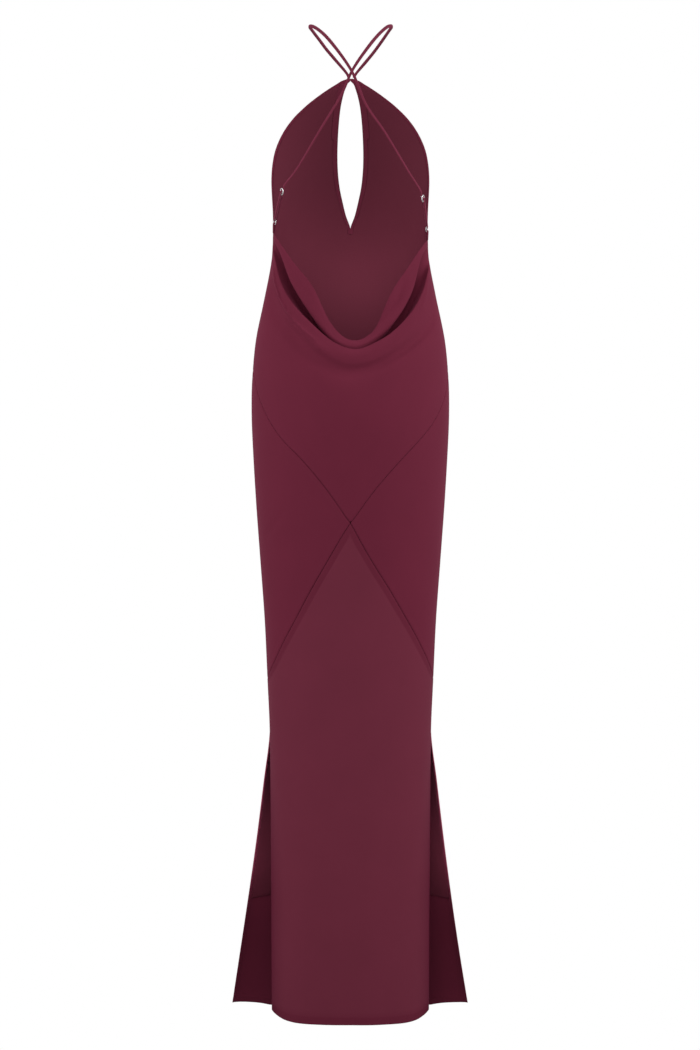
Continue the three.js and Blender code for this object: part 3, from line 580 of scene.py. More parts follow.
FRONT_LEVELS = levels(
    (-69, -70, 0.5), (-70, -90, 1.0), (-90, -170, 2.5), (-170, -285, 5), (-285, -300, 2.5),
    (-300, -320, 1.0), (-320, -1110, 10), (-1110, -1140, 5), (-1140, -1556, 9), (-1556, -1563, 2.5),
)
FRONT_LEVELS = np.concatenate([FRONT_LEVELS, above_hem(FRONT_HEM_Z)])


def facing_width(z):
    """The width of the strip beside the keyhole at height z."""
    down = (THROAT_FACING_END_Z - z) / (THROAT_FACING_END_Z - KEYHOLE_FOOT_Z)
    tapered = FACING + (FOOT_FACING - FACING) * np.clip(down * 2 - 1, 0, 1)
    width = np.where(z > THROAT_FACING_END_Z, THROAT_FACING, tapered)
    return np.where(z <= KEYHOLE_FOOT_Z, TACK_HALF_WIDTH, width)


def edge_width(z):
    """The width of the self cloth turned in along the outer edge at height z."""
    return EDGE_ROLL + (SLIT_HEM - EDGE_ROLL) * np.clip((SLIT_TOP_Z - z) / 60, 0, 1)


def front_rows(z, start, end, count, last=1):
    """Points, normals and UV of the left half of the front, out to the share last, between two trims."""
    last = last * np.ones(len(z))
    share, walked = shares_at(front_point, z, start, end, np.zeros(len(z)), last, count)
    height = np.broadcast_to(z[:, None], share.shape)
    points, normals = front_point(share, height), front_facing(share, height)
    hole = np.maximum(smooth_at(FRONT, "hole", z), 0)
    uv = np.stack([walked + hole[:, None], height], axis=-1)
    return points, normals, uv


def both_sides(points, normals, uv, outer, inner):
    """The left half of the front and its mirror image, each with its own folds."""
    flip = np.array([-1, 1, 1])
    halves = []
    for side, turned in ((1, True), (-1, False)):
        p = points * flip if side < 0 else points.copy()
        n = normals * flip if side < 0 else normals
        p = p + n * upright_folds(p[..., 0], p[..., 2], FRONT_WAVES)[..., None]
        halves.append(dict(points=p, normals=n, uv=uv * np.array([side, 1]), outer=outer,
                           inner=inner, turned=turned))
    return halves


def front_lines():
    """The edges of the left half of the front: keyhole, outer edge with the top, and hem."""
    z = levels((KEYHOLE_TOP_Z - 0.1, -90, 1), (-90, -300, 5), (-300, KEYHOLE_FOOT_Z + 0.1, 1))
    keyhole = front_point(np.zeros(len(z)), z)
    z = levels((-68.8, -100, 1), (-100, -1569, 6))
    outer = front_point(np.ones(len(z)), z)
    share = np.linspace(0, 1, 80)
    hem = front_point(share, np.full(len(share), FRONT_HEM_Z))
    return keyhole, outer, hem


KEYHOLE_LINE, OUTER_LINE, FRONT_HEM_LINE = front_lines()
THROAT_LINE = np.array([[0, -62, -68.7], [3, -61.9, -68.7]])


def front_panel():
    """The front: its left half on front_point and the mirror image, thicker where the edges are turned."""
    z = FRONT_LEVELS
    seam = ramp(-z, -SIDE_SEAM_TOP_Z - 2, -SIDE_SEAM_TOP_Z + 2)
    seam = seam * (1 - ramp(-z, -SLIT_TOP_Z - 1, -SLIT_TOP_Z + 1))
    points, normals, uv = front_rows(z, np.zeros(len(z)), SEAM_GAP * seam, FRONT_COLUMNS)
    keyhole, outer = distance_to(points, KEYHOLE_LINE), distance_to(points, OUTER_LINE)
    hem = distance_to(points, FRONT_HEM_LINE)
    throat = distance_to(points, THROAT_LINE)
    seam = seam[:, None]
    edge = np.minimum.reduce([keyhole, outer, hem, throat])
    turned = np.minimum.reduce([hem - FRONT_HEM_TURN, outer - FRONT_SIDE_TURN, keyhole - KEYHOLE_TURN])
    thick = turned_cloth(turned, 0.6)
    dip = seam * seam_dip(outer) + (1 - seam) * hem_dip(outer, SLIT_HEM) + hem_dip(hem, FRONT_HEM_TURN)
    gather = bell(points[..., 2], GATHER_Z, GATHER_REACH)
    gather = gather * np.sin(points[..., 0] * 0.9 - points[..., 2] * 0.35)
    dip = dip + GATHER_DEPTH * gather * ramp(edge, 0.5, 4)
    above, below = layer_depths(edge, thick, dip)
    return cloth(both_sides(points, normals, uv, above, below))


def front_lining():
    """The lining, under the front between its turned edges, down to its own hem."""
    z = levels((LINING_TOP_Z, -90, 1.5), (-90, -170, 3), (-170, -285, 6), (-285, -316, 2.5),
               (-317.4, -1110, 12), (-1110, -1395, 9), (-1395, LINING_HEM_Z, 0.8))
    beside = np.where(z > TACK_FOOT_Z, facing_width(z), 0)
    trim = np.where(z > TACK_FOOT_Z, SEAM_GAP, 0)
    points, normals, uv = front_rows(z, beside + trim, edge_width(z) + SEAM_GAP, LINING_COLUMNS)
    last = points[:, -1]
    first = points[z > TACK_FOOT_Z][:, 0]
    hem = points[..., 2] - LINING_HEM_Z
    edge = np.minimum.reduce([to_lines(points, [first, last]), hem, LINING_TOP_Z - points[..., 2]])
    edge = np.maximum(edge, 0)
    in_hem = (1 - ramp(hem, LINING_HEM_TURN - 0.5, LINING_HEM_TURN + 0.5)) * ramp(hem, -1, 0)
    thick = LINING + LINING_HEM * in_hem
    above, below = layer_depths(edge, thick, hem_dip(hem, LINING_HEM_TURN), UNDER_PANEL)
    return cloth(both_sides(points, normals, uv, above, below))


def keyhole_facing():
    """The strip inside the keyhole's edge, wider at the throat, which ends below in a square tack. It
    stands up a little along its stitched edge."""
    z = levels((FACING_TOP_Z, -90, 1), (-90, -161.9, 2.5), (-162.1, -290, 5), (-290, -300, 2.5),
               (-300, TACK_FOOT_Z, 0.7))
    zero = np.zeros(len(z))
    last = share_from(facing_width(z) - SEAM_GAP, z)
    points, normals, uv = front_rows(z, zero, zero, FACING_COLUMNS, last)
    to_ends = [np.abs(points[..., 2] - end) for end in (TACK_FOOT_Z, FACING_TOP_Z)]
    edge = np.minimum.reduce([to_lines(points, [KEYHOLE_LINE, points[:, -1]]), *to_ends])
    stitched = 0.15 * bell(edge, 1.6, 0.5)
    above, below = layer_depths(edge, FACING_CLOTH, -stitched, UNDER_PANEL)
    return cloth(both_sides(points, normals, uv, above, below))


def share_from(distance, z):
    """The share at which each row of the front is so many millimetres from its centre or keyhole."""
    near, far = np.zeros(len(z)), np.ones(len(z))
    start = front_point(near, z)
    for _ in range(30):
        middle = (near + far) / 2
        inside = np.linalg.norm(front_point(middle, z) - start, axis=-1) < distance
        near, far = np.where(inside, middle, near), np.where(inside, far, middle)
    return (near + far) / 2


# Back

def back_rows(z, first, last, start, end, count):
    """Points, normals and UV of the back between two angles of each row and two trims, from left to
    right."""
    angle, walked = shares_at(back_point, z, start, end, first, last, count)
    height = np.broadcast_to(z[:, None], angle.shape)
    points, normals = back_point(angle, height), back_facing(angle, height)
    middle = np.radians(90 - angle)
    half = smooth_at(BODY, "half", height)
    uv = np.stack([-half * middle, height], axis=-1)
    return points, normals, uv


def seam_line(side, upper=True, lower=True):
    """Close points on one side piece's inner seams: the upper, the lower or both."""
    rows = ([UPPER_SEAM] if upper else []) + ([LOWER_SEAM] if lower else [])
    parts = []
    for row in rows:
        z = np.linspace(row["z"][0], row["z"][-1], 90)
        angle = smooth_at(row, side, z)
        parts.append(back_point(angle if side == "left" else 180 - angle, z))
    return np.concatenate(parts)


def side_line(angle, top, foot):
    """The side seam between two heights."""
    z = np.linspace(top, foot, max(int((top - foot) / 6), 2))
    return back_point(np.full(len(z), float(angle)), z)


UPPER_LINES = [seam_line(side, lower=False) for side in ("left", "right")]
LOWER_LINES = [seam_line(side, upper=False) for side in ("left", "right")]

# Creases pressed into the back: where each runs as [x, z], how wide and how deep it is. A ridge
# has a negative depth.
SIDE_CREASES = [
    dict(path=[[138, -824], [118, -796], [98, -767]], width=5, depth=0.55),
    dict(path=[[141, -802], [131, -814], [124, -830]], width=5, depth=0.45),
]
BODY_CREASES = [
    dict(path=[[119, -638], [98, -660], [77, -682]], width=3, depth=0.3),
    dict(path=[[-124, -425], [-126, -445], [-129, -468]], width=3, depth=1.2),
    dict(path=[[40, -540], [20, -547], [0, -549], [-25, -545], [-50, -533]], width=8, depth=0.9),
]
LIP_CREASES = [
    dict(path=[[122, -390], [119.5, -415], [112, -439], [101.5, -460], [87.5, -478], [73, -494],
               [56, -509]], width=1.7, depth=-3.2),
    dict(path=[[123, -412], [117, -436], [106, -461], [92, -481], [76, -500], [58, -517]],
         width=5, depth=3.6),
    dict(path=[[-121.5, -402], [-118.5, -428], [-113, -452]], width=3.5, depth=-1.8),
]
BAND_CREASES = [
    dict(path=[[-33, -495], [-53, -473], [-75, -440], [-86, -415]], width=6, depth=3.2),
    dict(path=[[56, -425], [44, -450], [33, -478]], width=3.5, depth=1.2),
]


def creases(points, marks):
    """How deep creases press a surface: a bell across each one, measured in x and z, which fades to a
    third at both of its ends."""
    flat = points[..., [0, 2]]
    total = np.zeros(points.shape[:-1])
    for mark in marks:
        path = np.array(mark["path"], float)
        lengths = np.linalg.norm(np.diff(path, axis=0), axis=1)
        best = np.full(total.shape, np.inf)
        where = np.zeros(total.shape)
        walked = 0.0
        for a, b, length in zip(path[:-1], path[1:], lengths):
            along = (b - a) / length
            t = np.clip(((flat - a) * along).sum(-1), 0, length)
            away = np.linalg.norm(flat - (a + t[..., None] * along), axis=-1)
            nearer = away < best
            best = np.where(nearer, away, best)
            where = np.where(nearer, (walked + t) / lengths.sum(), where)
            walked += length
        fade = np.sin(np.pi * (where * 0.9 + 0.05)) ** 0.6
        total += mark["depth"] * bell(best, 0, mark["width"]) * fade
    return total


def side_piece(side):
    """One side piece: rows of the back from the side seam to the piece's inner seams."""
    z = levels((-548.4, -552, 0.6), (-552, -570, 2), (-570, -780, 5), (-780, -793.9, 2),
               (-794.1, -810, 2), (-810, -1010, 5), (-1010, -1034, 2.5), (-1034, -1041.6, 0.6))
    upper, lower = smooth_at(UPPER_SEAM, side, z), smooth_at(LOWER_SEAM, side, z)
    inner = np.where(z > POINT_Z, upper, lower)
    trims = (np.full(len(z), SEAM_GAP), np.full(len(z), SLANT_GAP))
    if side == "left":
        points, normals, uv = back_rows(z, np.zeros(len(z)), inner, *trims, SIDE_COLUMNS)
    else:
        points, normals, uv = back_rows(z, np.full(len(z), 180.0), 180 - inner, *trims, SIDE_COLUMNS)
    side_seam = side_line(0 if side == "left" else 180, SIDE_TOP_Z, SIDE_FOOT_Z)
    to_side, to_inner = distance_to(points, side_seam), distance_to(points, seam_line(side))
    edge = np.maximum(np.minimum(to_side, to_inner) - SEAM_GAP, 0)
    dip = seam_dip(to_side) + seam_dip(to_inner)
    if side == "left":
        dip = dip + creases(points, SIDE_CREASES)
    above, below = layer_depths(edge, turned_cloth(edge - SEAM_TURN), dip)
    patch = dict(points=points, normals=normals, uv=uv, outer=above, inner=below,
                 turned=side == "left")
    return cloth([patch])


# How far the skirt's back takes its deep colour over its turned edges, and at a slit's edge at the top and
# low down, where the deep colour is painted shade. From there the painted shade fades out over this reach.
TURNED_DEEP = 0.35
SLIT_SHADE = (0.36, 1.17)
SLIT_SHADE_REACH = (25, 75)


def skirt_deep_and_shade(height, sides, turned, slit):
    """How far the skirt's back takes its deep colour: a little over its turned edges, where the cloth is
    doubled, and most beside the slits, where it is painted shade that grows lower down."""
    lower = ramp(-height, 1050, 1400)
    share, reach = ((1 - lower) * top + lower * low for top, low in (SLIT_SHADE, SLIT_SHADE_REACH))
    return TURNED_DEEP * (1 - ramp(turned, -0.8, 0.8)) + share * (1 - ramp(sides, 0, reach)) * slit


def back_skirt():
    """The back of the skirt: rows of the back between the lower seams, and then from slit to slit."""
    z = levels((-794.8, -800, 0.8), (-800, -1030, 5), (-1030, -1046, 1), (-1046, -1120, 8),
               (-1120, -1132, 2), (-1132, -1560, 8), (-1560, -1566, 2))
    z = np.concatenate([z, above_hem(BACK_HEM_Z)])
    above_foot = z > SIDE_FOOT_Z
    first = np.where(above_foot, smooth_at(LOWER_SEAM, "left", z), 0)
    last = 180 - np.where(above_foot, smooth_at(LOWER_SEAM, "right", z), 0)
    trim = np.where(above_foot, SLANT_GAP, SEAM_GAP)
    points, normals, uv = back_rows(z, first, last, trim, trim, SKIRT_COLUMNS)
    angle = back_angle(points[..., 0], points[..., 2])
    lift = smooth_at(BACK_HEM_LIFT, "lift", -np.minimum(angle, 180 - angle))
    height = points[..., 2]
    near_hem = ramp(-height, -BACK_HEM_Z - HEM_LIFT_HEIGHT, -BACK_HEM_Z)
    to_seam = to_lines(points, LOWER_LINES)
    sides = to_lines(points, [side_line(angle, SIDE_FOOT_Z, BACK_HEM_Z) for angle in (0, 180)])
    hem = height - BACK_HEM_Z
    slit = ramp(-height, -SLIT_TOP_Z - 4, -SLIT_TOP_Z + 4)
    edge = np.maximum(np.minimum.reduce([to_seam, sides, hem + SEAM_GAP]) - SEAM_GAP, 0)
    turned = np.minimum.reduce([to_seam - SEAM_TURN, sides - SEAM_TURN, hem - BACK_HEM_TURN])
    dip = seam_dip(to_seam) + (1 - slit) * seam_dip(sides) + hem_dip(hem, BACK_HEM_TURN)
    dip = dip + slit * hem_dip(sides, SLIT_HEM)
    dip = dip + upright_folds(points[..., 0], height, BACK_WAVES) * ramp(sides, 2, 30)
    above, below = layer_depths(edge, turned_cloth(turned), dip)
    # Deep colour: the doubled cloth at the turned edges, and painted shade beside the slits
    deep = skirt_deep_and_shade(height, sides, turned, slit)
    points[..., 2] += lift * near_hem
    patch = dict(points=points, normals=normals, uv=uv, outer=above, inner=below, turned=True, deep=deep)
    return cloth([patch])


# Cowl

# The cowl's rows are counted in folds from 0 at the top edge: the lip is fold 5. It stands up this far,
# over this much of a fold on each side.
LIP_FOLD = 5
LAST_FOLD = len(COWL_FOLDS) - 1
LIP_EDGE = 0.9
LIP_REACH = 0.22


def fold_curve(fold, part):
    """A fold of the cowl. From its lowest point to a side its reach goes as |cos|^(2/bow) and its depth as
    sin^(2/bow). Its height, and how deep it is sunk square to its bow, are smooth curves through the
    fold's values on that side."""
    turn = np.pi * part
    reach = np.abs(np.cos(turn)) ** (2 / fold["bow"])
    drop = np.abs(np.sin(turn)) ** (2 / fold["bow"])
    out = np.zeros((len(part), 3))
    stops = np.r_[FOLD_REACH[1], -FOLD_REACH]
    for side, sign, here in (("left", 1, part < 0.5), ("right", -1, part >= 0.5)):
        heights = np.array(fold[side], float)
        sunk = np.array(fold[f"sunk_{side}"], float)
        rows = dict(z=stops, height=np.r_[heights[1], heights], sunk=np.r_[sunk[1], sunk])
        width = sign * smooth_at(BODY, "half", heights[-1]) - fold["x"]
        x, y = width * reach, fold["y"] * drop
        square = unit(np.stack([x / width**2, y / fold["y"] ** 2], axis=-1))
        depth = smooth_at(rows, "sunk", -reach)
        out[here, 0] = (fold["x"] + x - square[:, 0] * depth)[here]
        out[here, 1] = (y - square[:, 1] * depth)[here]
        out[here, 2] = smooth_at(rows, "height", -reach)[here]
    return out


def through(guides, stops):
    """A smooth curve through the guides at each column: at each guide it slopes as the circle through
    that guide and its neighbours would, with the parts' lengths taken to the power one half."""
    guides = np.concatenate([2 * guides[:1] - guides[1:2], guides, 2 * guides[-1:] - guides[-2:-1]])
    gaps = np.linalg.norm(np.diff(guides, axis=0), axis=-1) ** 0.5
    i = np.minimum(np.floor(stops).astype(int), len(guides) - 4)
    t = (stops - i)[:, None, None]
    p0, p1, p2, p3 = (guides[i + k] for k in range(4))
    d1 = gaps[i + 1]
    d1 = np.where(d1 < 1e-2, 1, d1)
    d0 = np.where(gaps[i] < 1e-2, d1, gaps[i])[..., None]
    d2 = np.where(gaps[i + 2] < 1e-2, d1, gaps[i + 2])[..., None]
    d1 = d1[..., None]
    m1 = ((p1 - p0) / d0 - (p2 - p0) / (d0 + d1) + (p2 - p1) / d1) * d1
    m2 = ((p2 - p1) / d1 - (p3 - p1) / (d1 + d2) + (p3 - p2) / d2) * d1
    h = 3 * t**2 - 2 * t**3
    return p1 * (1 - h) + p2 * h + t * (1 - t) * ((1 - t) * m1 - t * m2)


def seam_height(angle):
    """The height of the upper seams at an angle round the back."""
    z = np.linspace(UPPER_SEAM["z"][0], UPPER_SEAM["z"][-1], 2000)
    left = np.interp(angle, smooth_at(UPPER_SEAM, "left", z), z)
    right = np.interp(180 - angle, smooth_at(UPPER_SEAM, "right", z), z)
    return np.where(angle < 90, left, right)


def below_folds(part, shares):
    """The cowl between its last fold and the upper seams: each column falls from the fold to the seam,
    on the back, and its angle goes from the fold's to 180 times the part."""
    last = fold_curve(COWL_FOLDS[-1], part)
    start, end = last[:, 2], seam_height(180 * part) + SLANT_GAP
    first_angle = back_angle(last[:, 0], start)
    height = start + (end - start) * shares
    turn = first_angle + (180 * part - first_angle) * ramp(shares, 0, 1)
    return turn, height


def cowl_parts():
    """Columns of the cowl from side to side, closer together at the sides."""
    even = np.linspace(0, 1, COWL_COLUMNS)
    sides = np.array([0.0008, 0.002, 0.004, 0.008, 0.013])
    return np.unique(np.concatenate([even, sides, 1 - sides]))


COWL_PART = cowl_parts()


def cowl_surface():
    """The cowl's points, each row's place among the folds, and the way the points face. Rows lie closest
    at the top edge and from the lip down over the next three folds."""
    part = COWL_PART
    thirds = np.array([1, 2, 3])[:, None] / 3
    turn, height = below_folds(part, thirds)
    guides = np.concatenate([
        np.array([fold_curve(fold, part) for fold in COWL_FOLDS]), back_point(turn, height)])
    rim_stops = np.array([0, 0.01, 0.03, 0.06, 0.1, 0.16, 0.25, 0.4])
    stops = np.concatenate([
        rim_stops,
        np.arange(0.5, LIP_FOLD, 0.1),
        np.arange(LIP_FOLD, LIP_FOLD + 3, 0.06),
        np.arange(LIP_FOLD + 3, LAST_FOLD - 0.05, 0.13)])
    folds = through(guides, stops)
    height = folds[..., 2]
    seated = back_point(back_angle(folds[..., 0], height), height)
    on_body = ramp(stops, LAST_FOLD - 1.6, LAST_FOLD)[:, None, None]
    folds = folds * (1 - on_body) + seated * on_body
    folds[:, 0], folds[:, -1] = back_point(0, height[:, 0]), back_point(180, height[:, -1])
    last = fold_curve(COWL_FOLDS[-1], part)
    fall = last[:, 2] - seam_height(180 * part)
    near = SLANT * NEAR_EDGE[::-1][:, None] / fall[None, :]
    even = np.linspace(0, 1, 36)[:-1, None] * (1 - near[:1])
    shares = np.concatenate([even, 1 - near])
    turn, height = below_folds(part, shares)
    points = np.concatenate([folds, back_point(turn, height)])
    stops = np.concatenate([stops, LAST_FOLD + np.linspace(0, 1, len(shares))])
    return points, stops, grid_normals(points)


def back_cowl():
    """The upper back: a surface through the cowl's folds, turned in at its top edge."""
    points, stops, normals = cowl_surface()
    walked = np.concatenate([
        np.zeros((1, points.shape[1])),
        np.cumsum(np.linalg.norm(np.diff(points, axis=0), axis=-1), axis=0)])
    row = np.broadcast_to(stops[:, None], walked.shape)
    in_band = row < 2.6
    under_lip = ramp(row, 5.3, 6) * (1 - ramp(row, 8.6, 9.6))
    on_body = row > 8
    top = np.where(row < 3, distance_to(points, points[0]), np.inf)
    side = to_lines(points, [side_line(0, COWL_CORNER_Z["left"], SIDE_TOP_Z),
                             side_line(180, COWL_CORNER_Z["right"], SIDE_TOP_Z)])
    seam = to_lines(points, UPPER_LINES)
    edge = np.minimum.reduce([top, side, seam])
    dip = seam_dip(side) + seam_dip(seam) + creases(points, BODY_CREASES) * on_body
    dip = dip + creases(points, LIP_CREASES) * under_lip + creases(points, BAND_CREASES) * in_band
    dip = dip - LIP_EDGE * bell(row, LIP_FOLD, LIP_REACH) * ramp(side, 3, 20)
    above, below = layer_depths(edge, turned_cloth(np.minimum(side, seam) - SEAM_TURN), dip)
    across = np.cumsum(np.linalg.norm(np.diff(points, axis=1), axis=-1), axis=1)
    across = np.concatenate([np.zeros((len(points), 1)), across], axis=1)
    across = across - across[:, -1:] / 2
    uv = np.stack([across, -walked], axis=-1)
    patch = dict(points=points, normals=normals, uv=uv, outer=above, inner=below, turned=True)
    return cloth([patch])


# Straps and fittings

def curve_through(stops, samples):
    """Points on a smooth curve through the stops, and the way it runs there."""
    stops = np.array(stops, float)
    at = np.linspace(0, len(stops) - 1, samples)
    points = through(stops[:, None, :], at)[:, 0]
    return points, unit(np.gradient(points, axis=0))


def ribbon(stops, faces, sizes, samples, sides=16, twist=0):
    """A cord carried along a route: an oval, cos by width / 2 across and sin by thick / 2 out, whose two
    sizes run smoothly from stop to stop, with a slight waist where the tube of cloth was turned."""
    centre, along = curve_through(stops, samples)
    face = through(np.array(faces, float)[:, None, :], np.linspace(0, len(faces) - 1, samples))[:, 0]
    across = unit(np.cross(along, face))
    out = unit(np.cross(across, along))
    turn = np.linspace(0, 2 * np.pi, sides, endpoint=False)
    waist = 1 - CORD_WAIST * np.abs(np.sin(turn)) ** 8
    stop = np.linspace(0, len(sizes) - 1, samples)
    width, thick = (np.interp(stop, np.arange(len(sizes)), [size[k] for size in sizes])[:, None, None]
                    for k in ("width", "thick"))
    ring = width / 2 * np.cos(turn)[None, :, None] * across[:, None, :]
    ring = ring + thick / 2 * (np.sin(turn) * waist)[None, :, None] * out[:, None, :]
    walked = np.concatenate([[0], np.cumsum(np.linalg.norm(np.diff(centre, axis=0), axis=1))])
    wound = 1 + twist * np.sin(2 * np.pi * walked[:, None] / TWIST_LENGTH + 2 * turn[None, :])
    points = (centre[:, None, :] + ring * wound[..., None]).reshape(-1, 3)
    i, k = np.meshgrid(np.arange(samples - 1), np.arange(sides), indexing="ij")
    a, b = (i * sides + k).ravel(), (i * sides + (k + 1) % sides).ravel()
    faces = np.concatenate([np.stack([a, a + sides, b], 1), np.stack([b, a + sides, b + sides], 1)])
    ends = []
    for number, first, step in ((0, 0, 1), (1, (samples - 1) * sides, -1)):
        middle = len(points) + number
        a = first + np.arange(sides)
        b = first + (np.arange(sides) + 1) % sides
        fan = np.stack([np.full(sides, middle), a, b] if step > 0 else [np.full(sides, middle), b, a], 1)
        ends.append(fan)
    points = np.concatenate([points, centre[:1], centre[-1:]])
    along_uv = np.concatenate([np.repeat(walked, sides), walked[:1], walked[-1:]])
    round_uv = np.concatenate([np.tile(turn * sizes[0]["width"] / 3, samples), [0, 0]])
    return dict(points=points, faces=np.concatenate([faces] + ends), uv=np.stack([round_uv, along_uv], 1))


def hardware_frame(side):
    """The directions of one slider and its ring: down the strap, out from the body, and across."""
    slider, ring = (np.array(HARDWARE[side][name], float) for name in ("slider", "ring"))
    down = unit(ring - slider)
    out = slider * OUTWARDS
    out = unit(out - out.dot(down) * down)
    return dict(slider=slider, ring=ring, down=down, out=out, across=unit(np.cross(out, down)))


def place(own, origin, t, n):
    """A point so far down the strap and so far out from an origin."""
    return origin + t * own["down"] + n * own["out"]


def strap(name, side):
    """A strap from the throat round the neck, under the slider's top, over its bar, round the ring and
    back to the bar. near and back are its places down the strap and out from the slider's middle."""
    own = hardware_frame(side)
    slider, ring, out = own["slider"], own["ring"], own["out"]
    route = np.array(STRAP_ROUTES[name], float)
    stops = list(route)
    faces = list(unit(np.stack([route[:, 0], route[:, 1], np.maximum(-route[:, 2] - 120, 0) * 0.1], 1)))
    under = SLIDER["wire"] + STRAP["thick"] / 2 + CLOTH_TO_WIRE
    over = SLIDER["bar"] + STRAP["thick"] / 2 + CLOTH_TO_WIRE
    wrap = RING["wire"] + STRAP["thick"] / 2 + CLOTH_TO_WIRE
    half = SLIDER["half_length"]
    near = [(-half - 6, -under), (-half - 0.8, -under - 0.15), (-half / 2, -0.15), (0, over + 0.1),
            (half, under + 0.15), (half + 4, under + 0.2)]
    stops += [place(own, slider, t, n) for t, n in near]
    faces += [out] * len(near)
    turn = np.linspace(0, np.pi, 7)
    stops += [place(own, ring, -RING["radius"] + wrap * math.sin(a), wrap * math.cos(a)) for a in turn]
    faces += [place(own, np.zeros(3), math.sin(a), math.cos(a)) for a in turn]
    back = [(half + 4, -under - 0.1), (half, -under - 0.1), (0.6, -over - 0.1)]
    stops += [place(own, slider, t, n) for t, n in back]
    faces += [-out] * len(back)
    sizes = [STRAP_END] * 2 + [NECK_STRAP] * 8 + [STRAP_END]
    sizes = sizes + [STRAP] * (len(stops) - len(sizes))
    return ribbon(stops, faces, sizes, samples=1300, twist=STRAP_TWIST)


def ring_tab(side):
    """A short loop of cloth from the ring to the corner of the cowl."""
    own = hardware_frame(side)
    corner, ring, out = np.array(HARDWARE[side]["corner"], float), own["ring"], own["out"]
    wrap = RING["wire"] + TAB["thick"] / 2 + CLOTH_TO_WIRE
    apart = TAB["thick"] / 2 + SEAM_GAP
    turn = np.linspace(0, np.pi, 7)
    stops = [place(own, corner, 0, apart)]
    stops += [place(own, ring, RING["radius"] - wrap * math.sin(a), wrap * math.cos(a)) for a in turn]
    stops += [place(own, corner, 0, -apart)]
    faces = [out] + [place(own, np.zeros(3), -math.sin(a), math.cos(a)) for a in turn] + [-out]
    return ribbon(stops, faces, [TAB] * len(stops), samples=120)


def wire_loop(own, centre, half_length, half_width, wire, steps=72, sides=14):
    """A closed wire bent round an oval: a circle of the wire's radius carried along it."""
    turn = np.linspace(0, 2 * np.pi, steps, endpoint=False)[:, None]
    radial = np.cos(turn) / half_length * own["down"] + np.sin(turn) / half_width * own["across"]
    radial = unit(radial)[:, None, :]
    middle = centre + half_length * np.cos(turn) * own["down"] + half_width * np.sin(turn) * own["across"]
    roll = np.linspace(0, 2 * np.pi, sides, endpoint=False)[None, :, None]
    points = middle[:, None, :] + wire * (np.cos(roll) * radial + np.sin(roll) * own["out"])
    i, k = np.meshgrid(np.arange(steps), np.arange(sides), indexing="ij")
    a, b = (i * sides + k).ravel(), (i * sides + (k + 1) % sides).ravel()
    c, d = (((i + 1) % steps) * sides + k).ravel(), (((i + 1) % steps) * sides + (k + 1) % sides).ravel()
    faces = np.concatenate([np.stack([a, c, b], 1), np.stack([b, c, d], 1)])
    uv = np.stack([i.ravel(), k.ravel()], 1).astype(float)
    return dict(points=points.reshape(-1, 3), faces=faces, uv=uv)


def slider(side):
    """A slider: an oval wire loop with a bar across its middle."""
    own = hardware_frame(side)
    centre = own["slider"]
    loop = wire_loop(own, centre, SLIDER["half_length"], SLIDER["half_width"], SLIDER["wire"])
    reach = own["across"] * SLIDER["half_width"]
    bar_size = dict(width=2 * SLIDER["bar"], thick=2 * SLIDER["bar"])
    bar = ribbon([centre - reach, centre, centre + reach], [own["out"]] * 3, [bar_size] * 3, samples=24)
    return joined(loop, bar)


def ring(side):
    """A ring: a round wire loop."""
    own = hardware_frame(side)
    return wire_loop(own, own["ring"], RING["radius"], RING["radius"], RING["wire"])


# Materials

def node(tree, kind, x, y, **settings):
    """Adds a node at a place in the tree, with its settings."""
    made = tree.nodes.new(kind)
    made.location = (x, y)
    for name, value in settings.items():
        setattr(made, name, value)
    return made


def calc(tree, operation, a, b, x, y):
    """A Math node of two inputs, each a socket or a number."""
    made = node(tree, "ShaderNodeMath", x, y, operation=operation)
    for socket, value in zip(made.inputs, (a, b)):
        if isinstance(value, (int, float)):
            socket.default_value = value
        else:
            tree.links.new(value, socket)
    return made.outputs[0]


# The length of one wave of a Wave texture whose scale is 1
WAVE_LENGTH = math.tau / 20

# How much the colour drifts over a piece, and how much smoother the cloth is where its grain is light
COLOUR_DRIFT = 0.12
GRAIN_SHINE = -0.3


